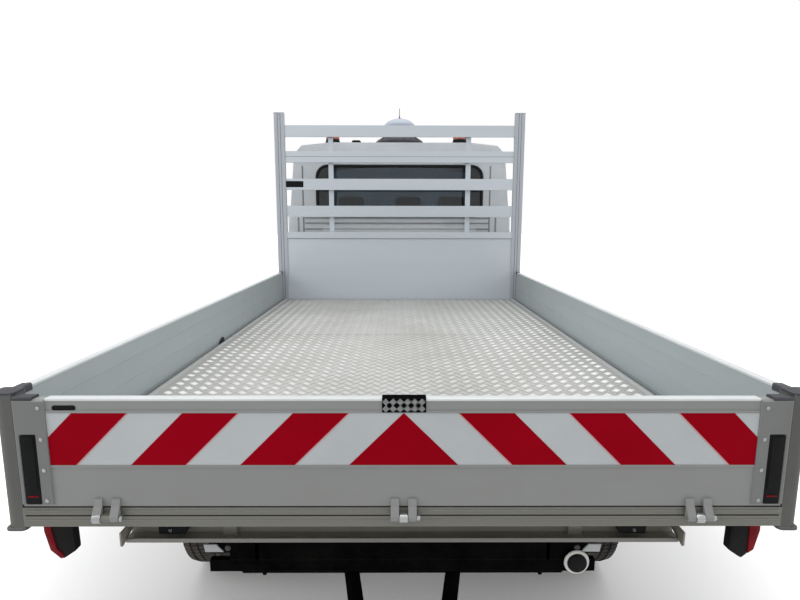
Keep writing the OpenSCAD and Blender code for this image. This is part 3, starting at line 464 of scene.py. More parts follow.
def new_group(
    name: str, ins: list[tuple[str, str, object]], outs: list[tuple[str, str]],
) -> tuple[Wiring, bpy.types.bpy_prop_collection, bpy.types.Node]:
    """Starts a shader node group.

    Args:
        name: The group's name.
        ins: Name, kind of socket and default of each input.
        outs: Name and kind of each output.

    Returns:
        Its wiring, the sockets that its inputs come in by, and its output node.
    """
    tree = bpy.data.node_groups.new(name, "ShaderNodeTree")
    for label, kind, default in ins:
        socket = tree.interface.new_socket(label, in_out="INPUT", socket_type=f"NodeSocket{kind}")
        if default is not None:
            socket.default_value = default
    for label, kind in outs:
        tree.interface.new_socket(label, in_out="OUTPUT", socket_type=f"NodeSocket{kind}")
    wire = Wiring(tree)
    return wire, wire.node("NodeGroupInput").outputs, wire.node("NodeGroupOutput")


def mottle_group() -> bpy.types.NodeTree:
    """Builds the group that shifts a colour between two shades in soft patches.

    Returns:
        The group.
    """
    grey = (0.5, 0.5, 0.5, 1.0)
    wire, into, out = new_group(
        "mottle",
        [("Position", "Vector", None), ("Stretch", "Vector", EVEN), ("Scale", "Float", 6.0),
         ("First", "Color", grey), ("Second", "Color", grey)],
        [("Colour", "Color"), ("Mask", "Float")],
    )
    place = wire.vector("MULTIPLY", i0=into["Position"], i1=into["Stretch"])
    mask = wire.ramp(wire.noise(place, Scale=into["Scale"], Detail=5.0, Roughness=0.62), 0.34, 0.68)
    wire.join(out, Colour=wire.mix(mask, into["First"], into["Second"]), Mask=mask)
    return wire.tree


def dust_group() -> bpy.types.NodeTree:
    """Builds the group that lays road dust on a colour, thickest near the ground.

    Returns:
        The group.
    """
    wire, into, out = new_group(
        "road_dust",
        [("Position", "Vector", None), ("Colour", "Color", (0.5, 0.5, 0.5, 1.0)),
         ("Dust", "Color", linear((128, 120, 108))), ("Amount", "Float", 0.3), ("Reach", "Float", 1.2)],
        [("Colour", "Color"), ("Mask", "Float")],
    )
    height = wire.node("ShaderNodeSeparateXYZ", Vector=into["Position"]).outputs[2]
    low = wire.math("SUBTRACT", 1.15, wire.math("DIVIDE", height, into["Reach"]))
    low = wire.node("ShaderNodeClamp", Value=low, Min=0.12, Max=1.0).outputs[0]
    cloud = wire.ramp(wire.noise(into["Position"], Scale=9.0, Detail=6.0, Roughness=0.7), 0.38, 0.72)
    mask = wire.math("MULTIPLY", wire.math("MULTIPLY", low, cloud), into["Amount"])
    wire.join(out, Colour=wire.mix(mask, into["Colour"], into["Dust"]), Mask=mask)
    return wire.tree


def wear_group() -> bpy.types.NodeTree:
    """Builds the group that finds edges where a finish is rubbed through.

    Returns:
        The group.
    """
    wire, into, out = new_group(
        "worn_edges",
        [("Position", "Vector", None), ("Reach", "Float", 0.003), ("Amount", "Float", 0.5)],
        [("Mask", "Float")],
    )
    rounded = wire.node("ShaderNodeBevel", samples=4, Radius=into["Reach"]).outputs[0]
    plain = wire.node("ShaderNodeNewGeometry").outputs["Normal"]
    dot = wire.node("ShaderNodeVectorMath", operation="DOT_PRODUCT", i0=rounded, i1=plain).outputs["Value"]
    edge = wire.math("MULTIPLY", wire.math("SUBTRACT", 1.0, dot), 9.0)
    patches = wire.math("MULTIPLY", wire.noise(into["Position"], Scale=70.0, Detail=4.0), into["Amount"])
    rub = wire.math("MULTIPLY", edge, patches)
    wire.join(out, Mask=wire.node("ShaderNodeClamp", Value=rub).outputs[0])
    return wire.tree


def relief_group() -> bpy.types.NodeTree:
    """Builds the group that gives the height of fine grain, stretched by a vector.

    Returns:
        The group.
    """
    wire, into, out = new_group(
        "fine_relief",
        [("Position", "Vector", None), ("Stretch", "Vector", EVEN), ("Scale", "Float", 400.0)],
        [("Height", "Float")],
    )
    place = wire.vector("MULTIPLY", i0=into["Position"], i1=into["Stretch"])
    fine = wire.noise(place, Scale=into["Scale"], Detail=3.0)
    coarse = wire.noise(place, Scale=wire.math("MULTIPLY", into["Scale"], 0.13))
    wire.join(out, Height=wire.math("ADD", wire.math("MULTIPLY", fine, 0.6), wire.math("MULTIPLY", coarse, 0.4)))
    return wire.tree


def weave_group() -> bpy.types.NodeTree:
    """Builds the group that gives the height of a plain weave on all three planes.

    Returns:
        The group.
    """
    wire, into, out = new_group(
        "weave", [("Position", "Vector", None), ("Scale", "Float", 900.0)], [("Height", "Float")],
    )
    place = wire.vector("SCALE", i0=into["Position"], Scale=into["Scale"])
    split = wire.node("ShaderNodeSeparateXYZ", Vector=place).outputs
    x, y, z = (wire.math("SINE", split[i]) for i in range(3))
    wire.join(out, Height=wire.math("ADD", wire.math("MULTIPLY", x, y), wire.math("MULTIPLY", y, z)))
    return wire.tree


def headboard_darkening_group() -> bpy.types.NodeTree:
    """Builds the group that masks patches towards the headboard's foot, where a colour is made darker.

    Returns:
        The group.
    """
    wire, into, out = new_group(
        "headboard_end_darkening", [("Position", "Vector", None), ("Amount", "Float", 0.3)], [("Mask", "Float")],
    )
    along = wire.node("ShaderNodeSeparateXYZ", Vector=into["Position"]).outputs[1]
    near = wire.ramp(along, -1.6, 0.5, interpolation_type="SMOOTHSTEP")
    patches = wire.noise(into["Position"], Scale=2.2, Detail=6.0, Roughness=0.6)
    cloud = wire.math("MULTIPLY_ADD", patches, 0.5, 0.75)
    wire.join(out, Mask=wire.math("MULTIPLY", wire.math("MULTIPLY", near, cloud), into["Amount"]))
    return wire.tree


class Groups:
    """The shared node groups, each built once."""

    made: dict[str, bpy.types.NodeTree] = {}
    makers = {
        "mottle": mottle_group,
        "road_dust": dust_group,
        "worn_edges": wear_group,
        "fine_relief": relief_group,
        "weave": weave_group,
        "headboard_end_darkening": headboard_darkening_group,
    }

    @classmethod
    def get(cls, name: str) -> bpy.types.NodeTree:
        """The group of that name.

        Args:
            name: Its name.

        Returns:
            The group, built when first asked for.
        """
        if name not in cls.made:
            cls.made[name] = cls.makers[name]()
        return cls.made[name]


STRETCH: dict[Grain, Point] = {
    Grain.BRUSHED_X: (0.02, 1.0, 1.0),
    Grain.BRUSHED_Y: (1.0, 0.02, 1.0),
    Grain.BRUSHED_Z: (1.0, 1.0, 0.02),
}
# Darker tone that colours shift to in patches towards the headboard.
HEAD_END_TONE: Paint = (96, 96, 92)


@dataclass(frozen=True)
class Finish:
    """One finish, from which its material is made once.

    Attributes:
        name: Name of the material, other than every slot of the record.
        colour: Its main colour.
        second: The colour that patches of it shift to.
        rough: Roughness between patches.
        metal: How metallic it is.
        grain: Its fine relief.
        scale: How fine the grain is.
        depth: Strength of the grain.
        patch: How small the patches are.
        dust: Amount of road dust near the ground.
        reach: Height at which the dust thins out, in metres.
        wear: Amount of rubbing along edges.
        worn: Colour under the rubbed edges.
        coat: Weight of a clear coat.
        clear: How far light passes through.
        painted_glow: Strength of painted light that it gives of itself, though no lamp in it is lit.
        sheen: Weight of the sheen of cloth.
        gloss: Level of its plain reflection.
        soft: Radius that edges seem rounded by, in metres.
        head_darkening: Amount of darkening in patches towards the headboard.
    """

    name: str
    colour: Paint
    second: Paint
    rough: float = 0.5
    metal: float = 0.0
    grain: Grain = Grain.PAINT
    scale: float = 300.0
    depth: float = 0.15
    patch: float = 4.0
    dust: float = 0.0
    reach: float = 1.2
    wear: float = 0.0
    worn: Paint = (150, 150, 148)
    coat: float = 0.0
    clear: float = 0.0
    painted_glow: float = 0.0
    sheen: float = 0.0
    gloss: float = 0.5
    soft: float = 0.0
    head_darkening: float = 0.0

    def material(self) -> bpy.types.Material:
        """The material of this finish, made on first use."""
        found = bpy.data.materials.get(self.name)
        return found if found else self._build()

    def _build(self) -> bpy.types.Material:
        """Builds the material's nodes and returns it.

        Returns:
            The material.
        """
        made = bpy.data.materials.new(self.name)
        made.use_nodes = True
        wire = Wiring(made.node_tree)
        shader = made.node_tree.nodes["Principled BSDF"]
        place = wire.node("ShaderNodeTexCoord").outputs["Object"]
        stretch = STRETCH.get(self.grain, EVEN)
        mottle = wire.group(
            "mottle", Position=place, Stretch=tuple(max(s, 0.12) for s in stretch), Scale=self.patch,
            First=linear(self.colour), Second=linear(self.second),
        )
        colour = mottle["Colour"]
        rough = wire.math("MULTIPLY_ADD", mottle["Mask"], 0.16, self.rough - 0.08)
        if self.dust:
            dust = wire.group("road_dust", Position=place, Colour=colour, Amount=self.dust, Reach=self.reach)
            colour = dust["Colour"]
            rough = wire.math("MULTIPLY_ADD", dust["Mask"], 0.4, rough)
        # Darker in patches towards the headboard.
        if self.head_darkening:
            head_darkening = wire.group("headboard_end_darkening", Position=place, Amount=self.head_darkening)
            colour = wire.mix(head_darkening["Mask"], colour, linear(HEAD_END_TONE))
        if self.wear:
            worn = wire.group("worn_edges", Position=place, Amount=self.wear)
            colour = wire.mix(worn["Mask"], colour, linear(self.worn))
        if self.grain is Grain.WOVEN:
            relief = wire.group("weave", Position=place, Scale=self.scale)
        else:
            relief = wire.group("fine_relief", Position=place, Stretch=stretch, Scale=self.scale)
        bump = wire.node("ShaderNodeBump", Strength=self.depth, Distance=0.001, Height=relief["Height"])
        if self.soft:
            wire.join(bump, Normal=wire.node("ShaderNodeBevel", samples=4, Radius=self.soft).outputs[0])
        wire.join(
            shader, Base__Color=colour, Roughness=rough, Normal=bump.outputs[0], Metallic=self.metal,
            Coat__Weight=self.coat, Coat__Roughness=0.08, Transmission__Weight=self.clear,
            Sheen__Weight=self.sheen, Specular__IOR__Level=self.gloss,
        )
        # Painted light: the finish gives light of itself, though nothing in it is a lamp that is lit.
        if self.painted_glow:
            wire.join(shader, Emission__Color=colour, Emission__Strength=self.painted_glow)
        return made


CAB_WHITE = Finish(
    "cab_white_paint", (227, 231, 234), (218, 223, 226), rough=0.36, scale=500.0, depth=0.05, dust=0.2,
    coat=0.35, soft=0.014,
)
# A darker copy of the cab's white: painted shade along the creases of the cab's rear wall.
CREASE_SHADE = Finish(
    "cab_crease_shade", (150, 156, 158), (140, 146, 148), scale=500.0, depth=0.05, dust=0.2, gloss=0.3,
)
TAIL_PANEL = Finish(
    "tail_panel_alu", (144, 146, 145), (154, 156, 155), rough=0.55, metal=0.1, grain=Grain.BRUSHED_X,
    scale=260.0, depth=0.12, patch=3.0, dust=0.2, reach=1.6, gloss=0.3, soft=0.0015,
)
END_ALU = Finish(
    "end_profile_alu", (128, 130, 129), (118, 120, 119), rough=0.55, metal=0.1, grain=Grain.BRUSHED_Z,
    scale=260.0, depth=0.12, patch=3.0, dust=0.2, gloss=0.3,
)
BOARD_ALU = Finish(
    "anodised_board", (170, 180, 183), (180, 189, 192), metal=0.12, grain=Grain.BRUSHED_Y, scale=260.0,
    depth=0.12, patch=2.5, dust=0.12, reach=1.5, gloss=0.4, head_darkening=0.3,
)
HEAD_ALU = Finish(
    "headboard_alu", (190, 198, 205), (196, 204, 211), rough=0.48, metal=0.1, grain=Grain.BRUSHED_X,
    scale=260.0, depth=0.1, patch=2.5, gloss=0.4,
)
HEAD_POST = Finish(
    "headboard_post_alu", (174, 180, 187), (166, 172, 179), metal=0.1, grain=Grain.BRUSHED_Z, scale=260.0,
    depth=0.1, patch=2.5, gloss=0.4,
)
EDGE_ALU = Finish(
    "floor_edge_alu", (186, 189, 190), (174, 177, 178), metal=0.2, grain=Grain.BRUSHED_Y, scale=260.0,
    depth=0.12, patch=2.5, gloss=0.4,
)
HEAD_LINE = Finish(
    "headboard_line", (128, 133, 144), (120, 126, 136), rough=0.6, metal=0.1, grain=Grain.BRUSHED_X,
    scale=260.0, depth=0.1, patch=2.5, gloss=0.3,
)
POST_ALU = Finish(
    "post_alu", (102, 103, 100), (90, 91, 88), rough=0.55, metal=0.15, grain=Grain.BRUSHED_Z, scale=260.0,
    patch=3.0, dust=0.25, wear=0.4, worn=(160, 162, 162), gloss=0.3, soft=0.002,
)
RAIL_ALU = Finish(
    "rail_alu", (124, 124, 117), (112, 112, 106), rough=0.55, metal=0.2, grain=Grain.BRUSHED_X, scale=240.0,
    patch=3.0, dust=0.35, reach=1.5, wear=0.3, worn=(170, 170, 168), gloss=0.35,
)
TREAD_ALU = Finish(
    "tread_plate", (180, 180, 177), (162, 162, 158), metal=0.25, grain=Grain.CAST, scale=320.0, depth=0.12,
    patch=1.6, gloss=0.4, head_darkening=0.34,
)
TREAD_BAR = Finish(
    "tread_bar_alu", (216, 217, 215), (196, 196, 193), rough=0.45, metal=0.35, grain=Grain.CAST, scale=320.0,
    depth=0.1, patch=1.6, gloss=0.45, head_darkening=0.34,
)
EDGE_WHITE = Finish(
    "bright_edge", (216, 220, 221), (205, 209, 210), rough=0.4, metal=0.1, scale=400.0, depth=0.05, patch=5.0,
)
MARK_WHITE = Finish(
    "marking_white", (194, 199, 202), (186, 191, 194), rough=0.42, grain=Grain.MOULDED, scale=900.0, depth=0.1,
    gloss=0.25,
)
MARK_RED = Finish(
    "marking_red", (156, 0, 24), (148, 0, 20), grain=Grain.MOULDED, scale=900.0, depth=0.06, gloss=0.03,
)
MARK_PINK = Finish(
    "marking_edge", (204, 164, 168), (194, 152, 156), rough=0.45, grain=Grain.MOULDED, scale=900.0, depth=0.1,
    gloss=0.2,
)
BLACK_STEEL = Finish(
    "satin_black_steel", (12, 12, 13), (8, 8, 9), rough=0.6, grain=Grain.CAST, scale=260.0, depth=0.25,
    patch=6.0, dust=0.05, reach=0.9, wear=0.2, worn=(56, 54, 52), gloss=0.0,
)
FRAME_STEEL = Finish(
    "frame_steel", (40, 40, 39), (30, 30, 29), rough=0.6, metal=0.15, grain=Grain.CAST, scale=200.0, depth=0.3,
    patch=5.0, dust=0.5, reach=1.1, wear=0.4, worn=(100, 95, 90), gloss=0.3,
)
BAR_GREY = Finish(
    "light_bar_steel", (166, 163, 152), (142, 139, 130), rough=0.55, metal=0.3, grain=Grain.BRUSHED_X,
    scale=260.0, depth=0.2, dust=0.4, reach=1.2, wear=0.6, worn=(190, 189, 182), gloss=0.35,
)
BAR_LIP = Finish(
    "light_bar_lip", (138, 137, 132), (122, 121, 116), rough=0.45, metal=0.25, grain=Grain.BRUSHED_X,
    scale=260.0, dust=0.2,
)
IRON = Finish(
    "cast_iron", (74, 68, 64), (92, 70, 56), rough=0.72, metal=0.4, grain=Grain.CAST, scale=140.0, depth=0.5,
    patch=12.0, dust=0.5, reach=1.0,
)
BARE_STEEL = Finish(
    "zinc_steel", (190, 193, 194), (164, 167, 168), rough=0.28, metal=0.8, grain=Grain.CAST, depth=0.12,
    patch=14.0, dust=0.1,
)
RUBBER = Finish(
    "black_rubber", (18, 18, 19), (24, 24, 25), rough=0.7, grain=Grain.MOULDED, scale=340.0, depth=0.3,
    patch=6.0, dust=0.08, reach=1.2, gloss=0.15,
)
TYRE = Finish(
    "tyre_rubber", (30, 30, 30), (38, 37, 36), rough=0.78, grain=Grain.MOULDED, scale=260.0, depth=0.35,
    patch=7.0, dust=0.5, reach=0.9,
)
RIM = Finish(
    "rim_silver", (168, 170, 172), (150, 152, 154), rough=0.38, metal=0.55, scale=420.0, depth=0.08, patch=8.0,
    dust=0.5, reach=0.9, wear=0.3,
)
PLASTIC = Finish(
    "black_plastic", (26, 27, 29), (20, 21, 22), rough=0.58, grain=Grain.MOULDED, scale=620.0, depth=0.3,
    patch=5.0, dust=0.05, gloss=0.08,
)
CAP_PLASTIC = Finish(
    "cap_plastic", (74, 75, 80), (60, 61, 66), rough=0.58, grain=Grain.MOULDED, scale=620.0, depth=0.25,
    patch=9.0, dust=0.15, gloss=0.3,
)
TRIM_GREY = Finish(
    "interior_trim", (50, 52, 56), (42, 44, 48), rough=0.7, grain=Grain.MOULDED, scale=480.0, depth=0.4,
    patch=5.0, gloss=0.3,
)
SEAL = Finish(
    "window_seal", (20, 20, 21), (27, 27, 28), rough=0.6, grain=Grain.MOULDED, scale=500.0, depth=0.2,
    patch=8.0, gloss=0.3,
)
GLASS = Finish(
    "window_glass", (106, 120, 128), (98, 112, 120), rough=0.09, scale=30.0, depth=0.01, patch=3.0, clear=1.0,
)
LAMP_CLEAR = Finish(
    "lamp_clear", (240, 244, 246), (232, 238, 241), rough=0.09, scale=60.0, depth=0.02, patch=3.0, clear=0.92,
)
REFLECTOR = Finish(
    "lamp_reflector", (224, 226, 228), (210, 212, 214), rough=0.13, metal=0.95, scale=200.0, depth=0.02,
    patch=8.0,
)
# Red lens, also on the latch tags, with a faint painted light of its own.
LENS_RED = Finish(
    "lens_red", (132, 4, 18), (104, 2, 12), rough=0.35, grain=Grain.RIBBED, scale=160.0, depth=0.3, patch=30.0,
    gloss=0.12, painted_glow=0.02,
)
# Amber lens of the beacons, with a faint painted light of its own; the beacons are not lit.
LENS_AMBER = Finish(
    "lens_amber", (196, 92, 66), (182, 80, 54), rough=0.28, grain=Grain.RIBBED, scale=160.0, depth=0.3,
    patch=9.0, coat=0.3, painted_glow=0.04,
)
CLOTH = Finish(
    "seat_cloth", (58, 62, 68), (46, 50, 56), rough=0.9, grain=Grain.WOVEN, scale=2400.0, depth=0.5, patch=14.0,
    sheen=0.2,
)
DOME_WHITE = Finish(
    "dome_plastic", (172, 181, 193), (162, 171, 184), rough=0.45, grain=Grain.MOULDED, scale=600.0, depth=0.1,
    patch=6.0, coat=0.1,
)
PLATE_BLANK = Finish(
    "blank_plate", (226, 227, 222), (214, 216, 210), rough=0.35, grain=Grain.MOULDED, scale=500.0, depth=0.1,
    patch=6.0, coat=0.3,
)


# Pieces


def dress(mesh: bpy.types.Mesh, name: str, finish: Finish, body: str) -> bpy.types.Object:
    """Makes a piece from a mesh.

    Args:
        mesh: Its mesh, in place.
        name: The piece's name.
        finish: Its finish.
        body: The CAD body that it rides on.

    Returns:
        The piece.
    """
    made = bpy.data.objects.new(name, mesh)
    bpy.context.scene.collection.objects.link(made)
    mesh.materials.clear()
    mesh.materials.append(finish.material())
    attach(made, body)
    LOG.info("%s: %d faces on %s", name, len(mesh.polygons), body)
    return made


def piece(
    shape: Shape, name: str, finish: Finish, body: str, bevel: float = 0.0, crease: float = CREASE,
) -> bpy.types.Object:
    """Makes a piece from a shape; see dress and Shape.mesh."""
    return dress(shape.mesh(name, bevel, crease), name, finish, body)


class Repeater:
    """Repeats a small part with Geometry Nodes, in a grid or round an axis."""

    trees: dict[str, bpy.types.NodeTree] = {}

    @classmethod
    def _tree(cls, ring: bool) -> bpy.types.NodeTree:
        """The tree that repeats round the x axis, or the one that repeats along two steps.

        Args:
            ring: True for the ring.

        Returns:
            The tree.
        """
        name = "repeat_ring" if ring else "repeat_grid"
        if name in cls.trees:
            return cls.trees[name]
        tree = bpy.data.node_groups.new(name, "GeometryNodeTree")
        sockets = [("Part", "Object"), ("Finish", "Material"), ("Columns", "Int"), ("Rows", "Int"),
                   ("Step", "Vector"), ("Row Step", "Vector"), ("Start", "Vector"), ("Turn", "Vector")]
        for label, kind in sockets:
            tree.interface.new_socket(label, in_out="INPUT", socket_type=f"NodeSocket{kind}")
        tree.interface.new_socket("Geometry", in_out="OUTPUT", socket_type="NodeSocketGeometry")
        wire = Wiring(tree)
        into, out = wire.node("NodeGroupInput").outputs, wire.node("NodeGroupOutput")
        count = wire.math("MULTIPLY", into["Columns"], into["Rows"])
        points = wire.node("GeometryNodePoints", Count=count).outputs[0]
        index = wire.node("GeometryNodeInputIndex").outputs[0]
        part = wire.node("GeometryNodeObjectInfo", Object=into["Part"]).outputs["Geometry"]
        column = wire.math("FLOORED_MODULO", index, into["Columns"])
        row = wire.math("FLOOR", wire.math("DIVIDE", index, into["Columns"]))
        if ring:
            step = wire.math("DIVIDE", 2 * math.pi, into["Columns"])
            angle = wire.node("ShaderNodeCombineXYZ", X=wire.math("MULTIPLY", index, step))
            layout = {"Points": points, "Rotation": angle.outputs[0]}
        else:
            along = wire.vector("SCALE", i0=into["Step"], Scale=column)
            across = wire.vector("SCALE", i0=into["Row Step"], Scale=row)
            where = wire.vector("ADD", i0=along, i1=across)
            layout = {"Points": wire.node("GeometryNodeSetPosition", Geometry=points, Position=where).outputs[0]}
        placed = wire.node("GeometryNodeInstanceOnPoints", Instance=part, **layout).outputs[0]
        moved = wire.node(
            "GeometryNodeTransform", Geometry=placed, Translation=into["Start"], Rotation=into["Turn"],
        )
        real = wire.node("GeometryNodeRealizeInstances", Geometry=moved.outputs[0])
        painted = wire.node("GeometryNodeSetMaterial", Geometry=real.outputs[0], Material=into["Finish"])
        tree.links.new(painted.outputs[0], out.inputs[0])
        cls.trees[name] = tree
        return tree

    @classmethod
    def mesh(
        cls, part: Shape, name: str, finish: Finish, columns: int, rows: int = 1, step: Point = ORIGIN,
        row_step: Point = ORIGIN, start: Point = ORIGIN, turn: Point = ORIGIN, ring: bool = False,
        bevel: float = 0.0,
    ) -> bpy.types.Mesh:
        """Repeats a part and returns the plain mesh.

        Args:
            part: The part, drawn at the origin for a grid, or in place round the x axis for a ring.
            name: Name of the mesh.
            finish: Its finish.
            columns: Copies in a row, or round the ring.
            rows: Rows.
            step: From one copy to the next, in millimetres.
            row_step: From one row to the next.
            start: Where the first copy or the ring's centre goes.
            turn: How the whole is turned, in degrees.
            ring: True for a ring.
            bevel: Width of the rounding on the part's edges.

        Returns:
            The mesh, with every copy in place.
        """
        seed = bpy.data.objects.new("part_of_" + name, part.mesh("part_of_" + name, bevel))
        holder = bpy.data.objects.new("repeat_" + name, bpy.data.meshes.new("empty"))
        for thing in (seed, holder):
            bpy.context.scene.collection.objects.link(thing)
        tree = cls._tree(ring)
        modifier = holder.modifiers.new("repeat", "NODES")
        modifier.node_group = tree
        values = {"Part": seed, "Finish": finish.material(), "Columns": columns, "Rows": rows,
                  "Step": [c * MM for c in step], "Row Step": [c * MM for c in row_step],
                  "Start": [c * MM for c in start], "Turn": [math.radians(c) for c in turn]}
        for item in tree.interface.items_tree:
            if item.in_out == "INPUT":
                modifier[item.identifier] = values[item.name]
        graph = bpy.context.evaluated_depsgraph_get()
        made = bpy.data.meshes.new_from_object(holder.evaluated_get(graph))
        made.name = name
        for thing in (holder, seed):
            bpy.data.objects.remove(thing)
        return made


def repeated(part: Shape, name: str, finish: Finish, body: str, slot: str, **layout: object) -> bpy.types.Object:
    """Makes a piece of repeated parts; see Repeater.mesh for the layout."""
    return dress(Repeater.mesh(part, name, finish, **layout), name, finish, body)


def joined(meshes: list[bpy.types.Mesh], name: str, finish: Finish, body: str) -> bpy.types.Object:
    """Makes one piece of several meshes.

    Args:
        meshes: The meshes.
        name: The piece's name.
        finish: Its finish.
        body: The CAD body that it rides on.

    Returns:
        The piece.
    """
    work = bmesh.new()
    for mesh in meshes:
        work.from_mesh(mesh)
    data = bpy.data.meshes.new(name)
    work.to_mesh(data)
    work.free()
    data.shade_smooth()
    data.set_sharp_from_angle(angle=math.radians(CREASE))
    return dress(data, name, finish, body)


def traced(outline: list[Flat], step: float) -> list[Flat]:
    """Points at even steps, of about a given length, round a closed outline.

    Args:
        outline: Its corners.
        step: The length.

    Returns:
        The points.
    """
    points: list[Flat] = []
    for (a0, b0), (a1, b1) in zip(outline, [*outline[1:], outline[0]]):
        steps = max(int(math.hypot(a1 - a0, b1 - b0) / step), 1)
        points += [(a0 + (a1 - a0) * k / steps, b0 + (b1 - b0) * k / steps) for k in range(steps)]
    return points


def spread(s: int, near: float, far: float) -> Flat:
    """The two distances from the middle as places on one side, lower one first.

    Args:
        s: 1 on the right and -1 on the left.
        near: One distance.
        far: The other.

    Returns:
        The lower and the higher place.
    """
    low, high = sorted((s * near, s * far))
    return low, high


def rivet(radius: float = 7.0, height: float = 3.0, axis: Axis = Axis.Y, sign: float = -1.0) -> Shape:
    """A domed rivet head at the origin, standing out along an axis.

    Args:
        radius: Its radius.
        height: How far it stands out.
        axis: The axis.
        sign: Which way along the axis.

    Returns:
        The rivet.
    """
    profile = [
        (radius, 0.0), (radius * 0.93, sign * height * 0.5), (radius * 0.6, sign * height * 0.9),
        (1.0, sign * height),
    ]
    return Shape().lathe(profile, ORIGIN, axis, 10)


# Sub-assemblies


@dataclass
class Tailboard:
    """The tailboard's marking, end fittings, grip plate and hinge bushes.

    The marking is a band of slanted units, each as wide as the band is high, with an arrow head in the middle.

    Attributes:
        face_y: Its outer face.
        top: Its upper edge.
        low: Foot of the marking.
        unit: Height of the marking and width of its units.
        half: Half the marking's length.
        fine_line: Width of the pale line beside each red unit.
        hinge_x: Middles of the hinges.
        latch_x: Middle of the latches.
        rivet_x: Middle of the rivets beside the latches.
        rivet_step: From rivet to rivet.
        end_low: Foot of the end profiles.
        bush: Profile of a hinge bush.
    """

    face_y: float = PLAN.tail_y
    top: float = PLAN.board_top_z
    low: float = 1013.0
    unit: float = 141.4
    half: float = 914.0
    fine_line: float = 5.0
    hinge_x: tuple[float, ...] = (-775.0, 0.0, 775.0)
    latch_x: float = 964.0
    rivet_x: float = 930.0
    rivet_step: float = 84.0
    end_low: float = 906.0
    bush: tuple[Flat, ...] = ((11.0, -11.2), (13.0, -9.4), (13.0, 9.4), (11.0, 11.2))

    def _units(self) -> list[list[Flat]]:
        """Slanted red units of the right half, every second one outside the arrow head, clipped at the end.

        Returns:
            The units' corners.
        """
        found = []
        unit = self.unit
        for k in range(2, 8, 2):
            corners = [(k * unit, 0.0), ((k + 1) * unit, 0.0), (k * unit, unit), ((k - 1) * unit, unit)]
            clipped = self._clip(corners)
            if len(clipped) > 2:
                found.append(clipped)
        return found

    def _clip(self, corners: list[Flat]) -> list[Flat]:
        """The part of a polygon that lies inside the marking's end.

        Args:
            corners: The polygon.

        Returns:
            Its part inside, empty if there is none.
        """
        kept: list[Flat] = []
        for i, (x1, z1) in enumerate(corners):
            x0, z0 = corners[i - 1]
            if (x0 <= self.half) != (x1 <= self.half):
                share = (self.half - x0) / (x1 - x0)
                kept.append((self.half, z0 + share * (z1 - z0)))
            if x1 <= self.half:
                kept.append((x1, z1))
        return kept

    def build(self) -> None:
        """Builds the pieces that swing with the tailboard."""
        y = self.face_y
        white = Shape().box((-self.half, y - 0.7, self.low), (self.half, y + 0.5, self.low + self.unit))
        piece(white, "marking_band", MARK_WHITE, "tailboard")
        red = Shape().prism(
            [(-self.unit, self.low), (self.unit, self.low), (0.0, self.low + self.unit)], Axis.Y, y - 1.3, y,
        )
        edge = Shape()
        for outline in self._units():
            for s in (1, -1):
                red.prism([(s * x, self.low + z) for x, z in outline], Axis.Y, y - 1.3, y)
                inner = [(outline[0][0] - self.fine_line, 0.0), (outline[0][0], 0.0)]
                top = [(p[0] - self.unit, self.unit) for p in reversed(inner)]
                strip = self._clip(inner + top)
                edge.prism([(s * x, self.low + z) for x, z in strip], Axis.Y, y - 1.2, y)
        piece(red, "marking_red", MARK_RED, "tailboard")
        piece(edge, "marking_fine_lines", MARK_PINK, "tailboard")
        t = self.top
        outline = [
            (y - 1.5, t - 4), (y - 1.5, t + 0.5), (y + 1, t + 2), (y + 24, t + 2), (y + 26, t - 1),
            (y + 26, t - 6), (y + 24, t - 6), (y + 22, t - 1.5), (y + 2, t - 1.5), (y + 2, t - 4),
        ]
        cap = Shape().prism(outline, Axis.X, -self.half, self.half)
        piece(cap, "tailboard_top_edge", EDGE_WHITE, "tailboard", 0.4)
        self._ends()
        self._grip()
        inner = Shape()
        for z in (985.0, 1075.0, 1165.0):
            inner.box((-985.0, y + 24.5, z), (985.0, y + 26.0, z + 4))
        piece(inner, "tailboard_inner_ribs", BOARD_ALU, "tailboard", 0.5)
        label = Shape().prism(round_rect((-897.0, 1161.0), (-837.0, 1174.0), 6.0), Axis.Y, y - 1.5, y)
        piece(label, "blank_label", PLASTIC, "tailboard", 0.3)

    def _ends(self) -> None:
        """Builds rivets, latches and caps at both ends."""
        y, t = self.face_y - 5.0, self.top
        rows = [
            Repeater.mesh(
                rivet(5.5, 3.5), f"end_rivets_{s}", BARE_STEEL, 4, step=(0.0, 0.0, -self.rivet_step),
                start=(s * self.rivet_x, y, self.top - 22.0),
            ) for s in (-1, 1)
        ]
        joined(rows, "end_rivets", BARE_STEEL, "tailboard")
        plate = Shape()
        handle = Shape()
        tag = Shape()
        caps = Shape()
        for s in (-1, 1):
            x = s * self.latch_x
            plate.prism(round_rect((x - 20, self.end_low), (x + 20, 1097.0), 5.0), Axis.Y, y - 0.6, y + 3)
            handle.prism(round_rect((x - 15, 946.0), (x + 15, 1092.0), 5.0), Axis.Y, y - 3.0, y)
            tag.prism(round_rect((x - 14, 926.0), (x + 14, 930.0), 1.5), Axis.Y, y - 1.6, y)
            caps.prism([
                (y - 1, t - 2), (y - 1, t + 4), (y + 2, t + 7), (y + 28, t + 7), (y + 31, t + 4),
                (y + 31, t - 14), (y + 29, t - 14), (y + 29, t), (y + 1, t), (y + 1, t - 2),
            ], Axis.X, *spread(s, 944.0, PLAN.half_tail))
        faces = Shape()
        for a, b, low in ((916.0, 942.0, self.end_low), (986.0, 993.0, self.end_low), (942.0, 986.0, 1099.0)):
            faces.box((a, y - 0.4, low), (b, y + 0.6, t - 6))
        faces.mirrored()
        piece(faces, "end_profile_faces", END_ALU, "tailboard")
        piece(plate, "latch_plates", PLASTIC, "tailboard", 0.4)
        piece(handle, "latch_handles", PLASTIC, "tailboard", 1.0)
        piece(tag, "latch_tags", LENS_RED, "tailboard", 0.3)
        piece(caps, "tailboard_end_caps", CAP_PLASTIC, "tailboard", 0.8)

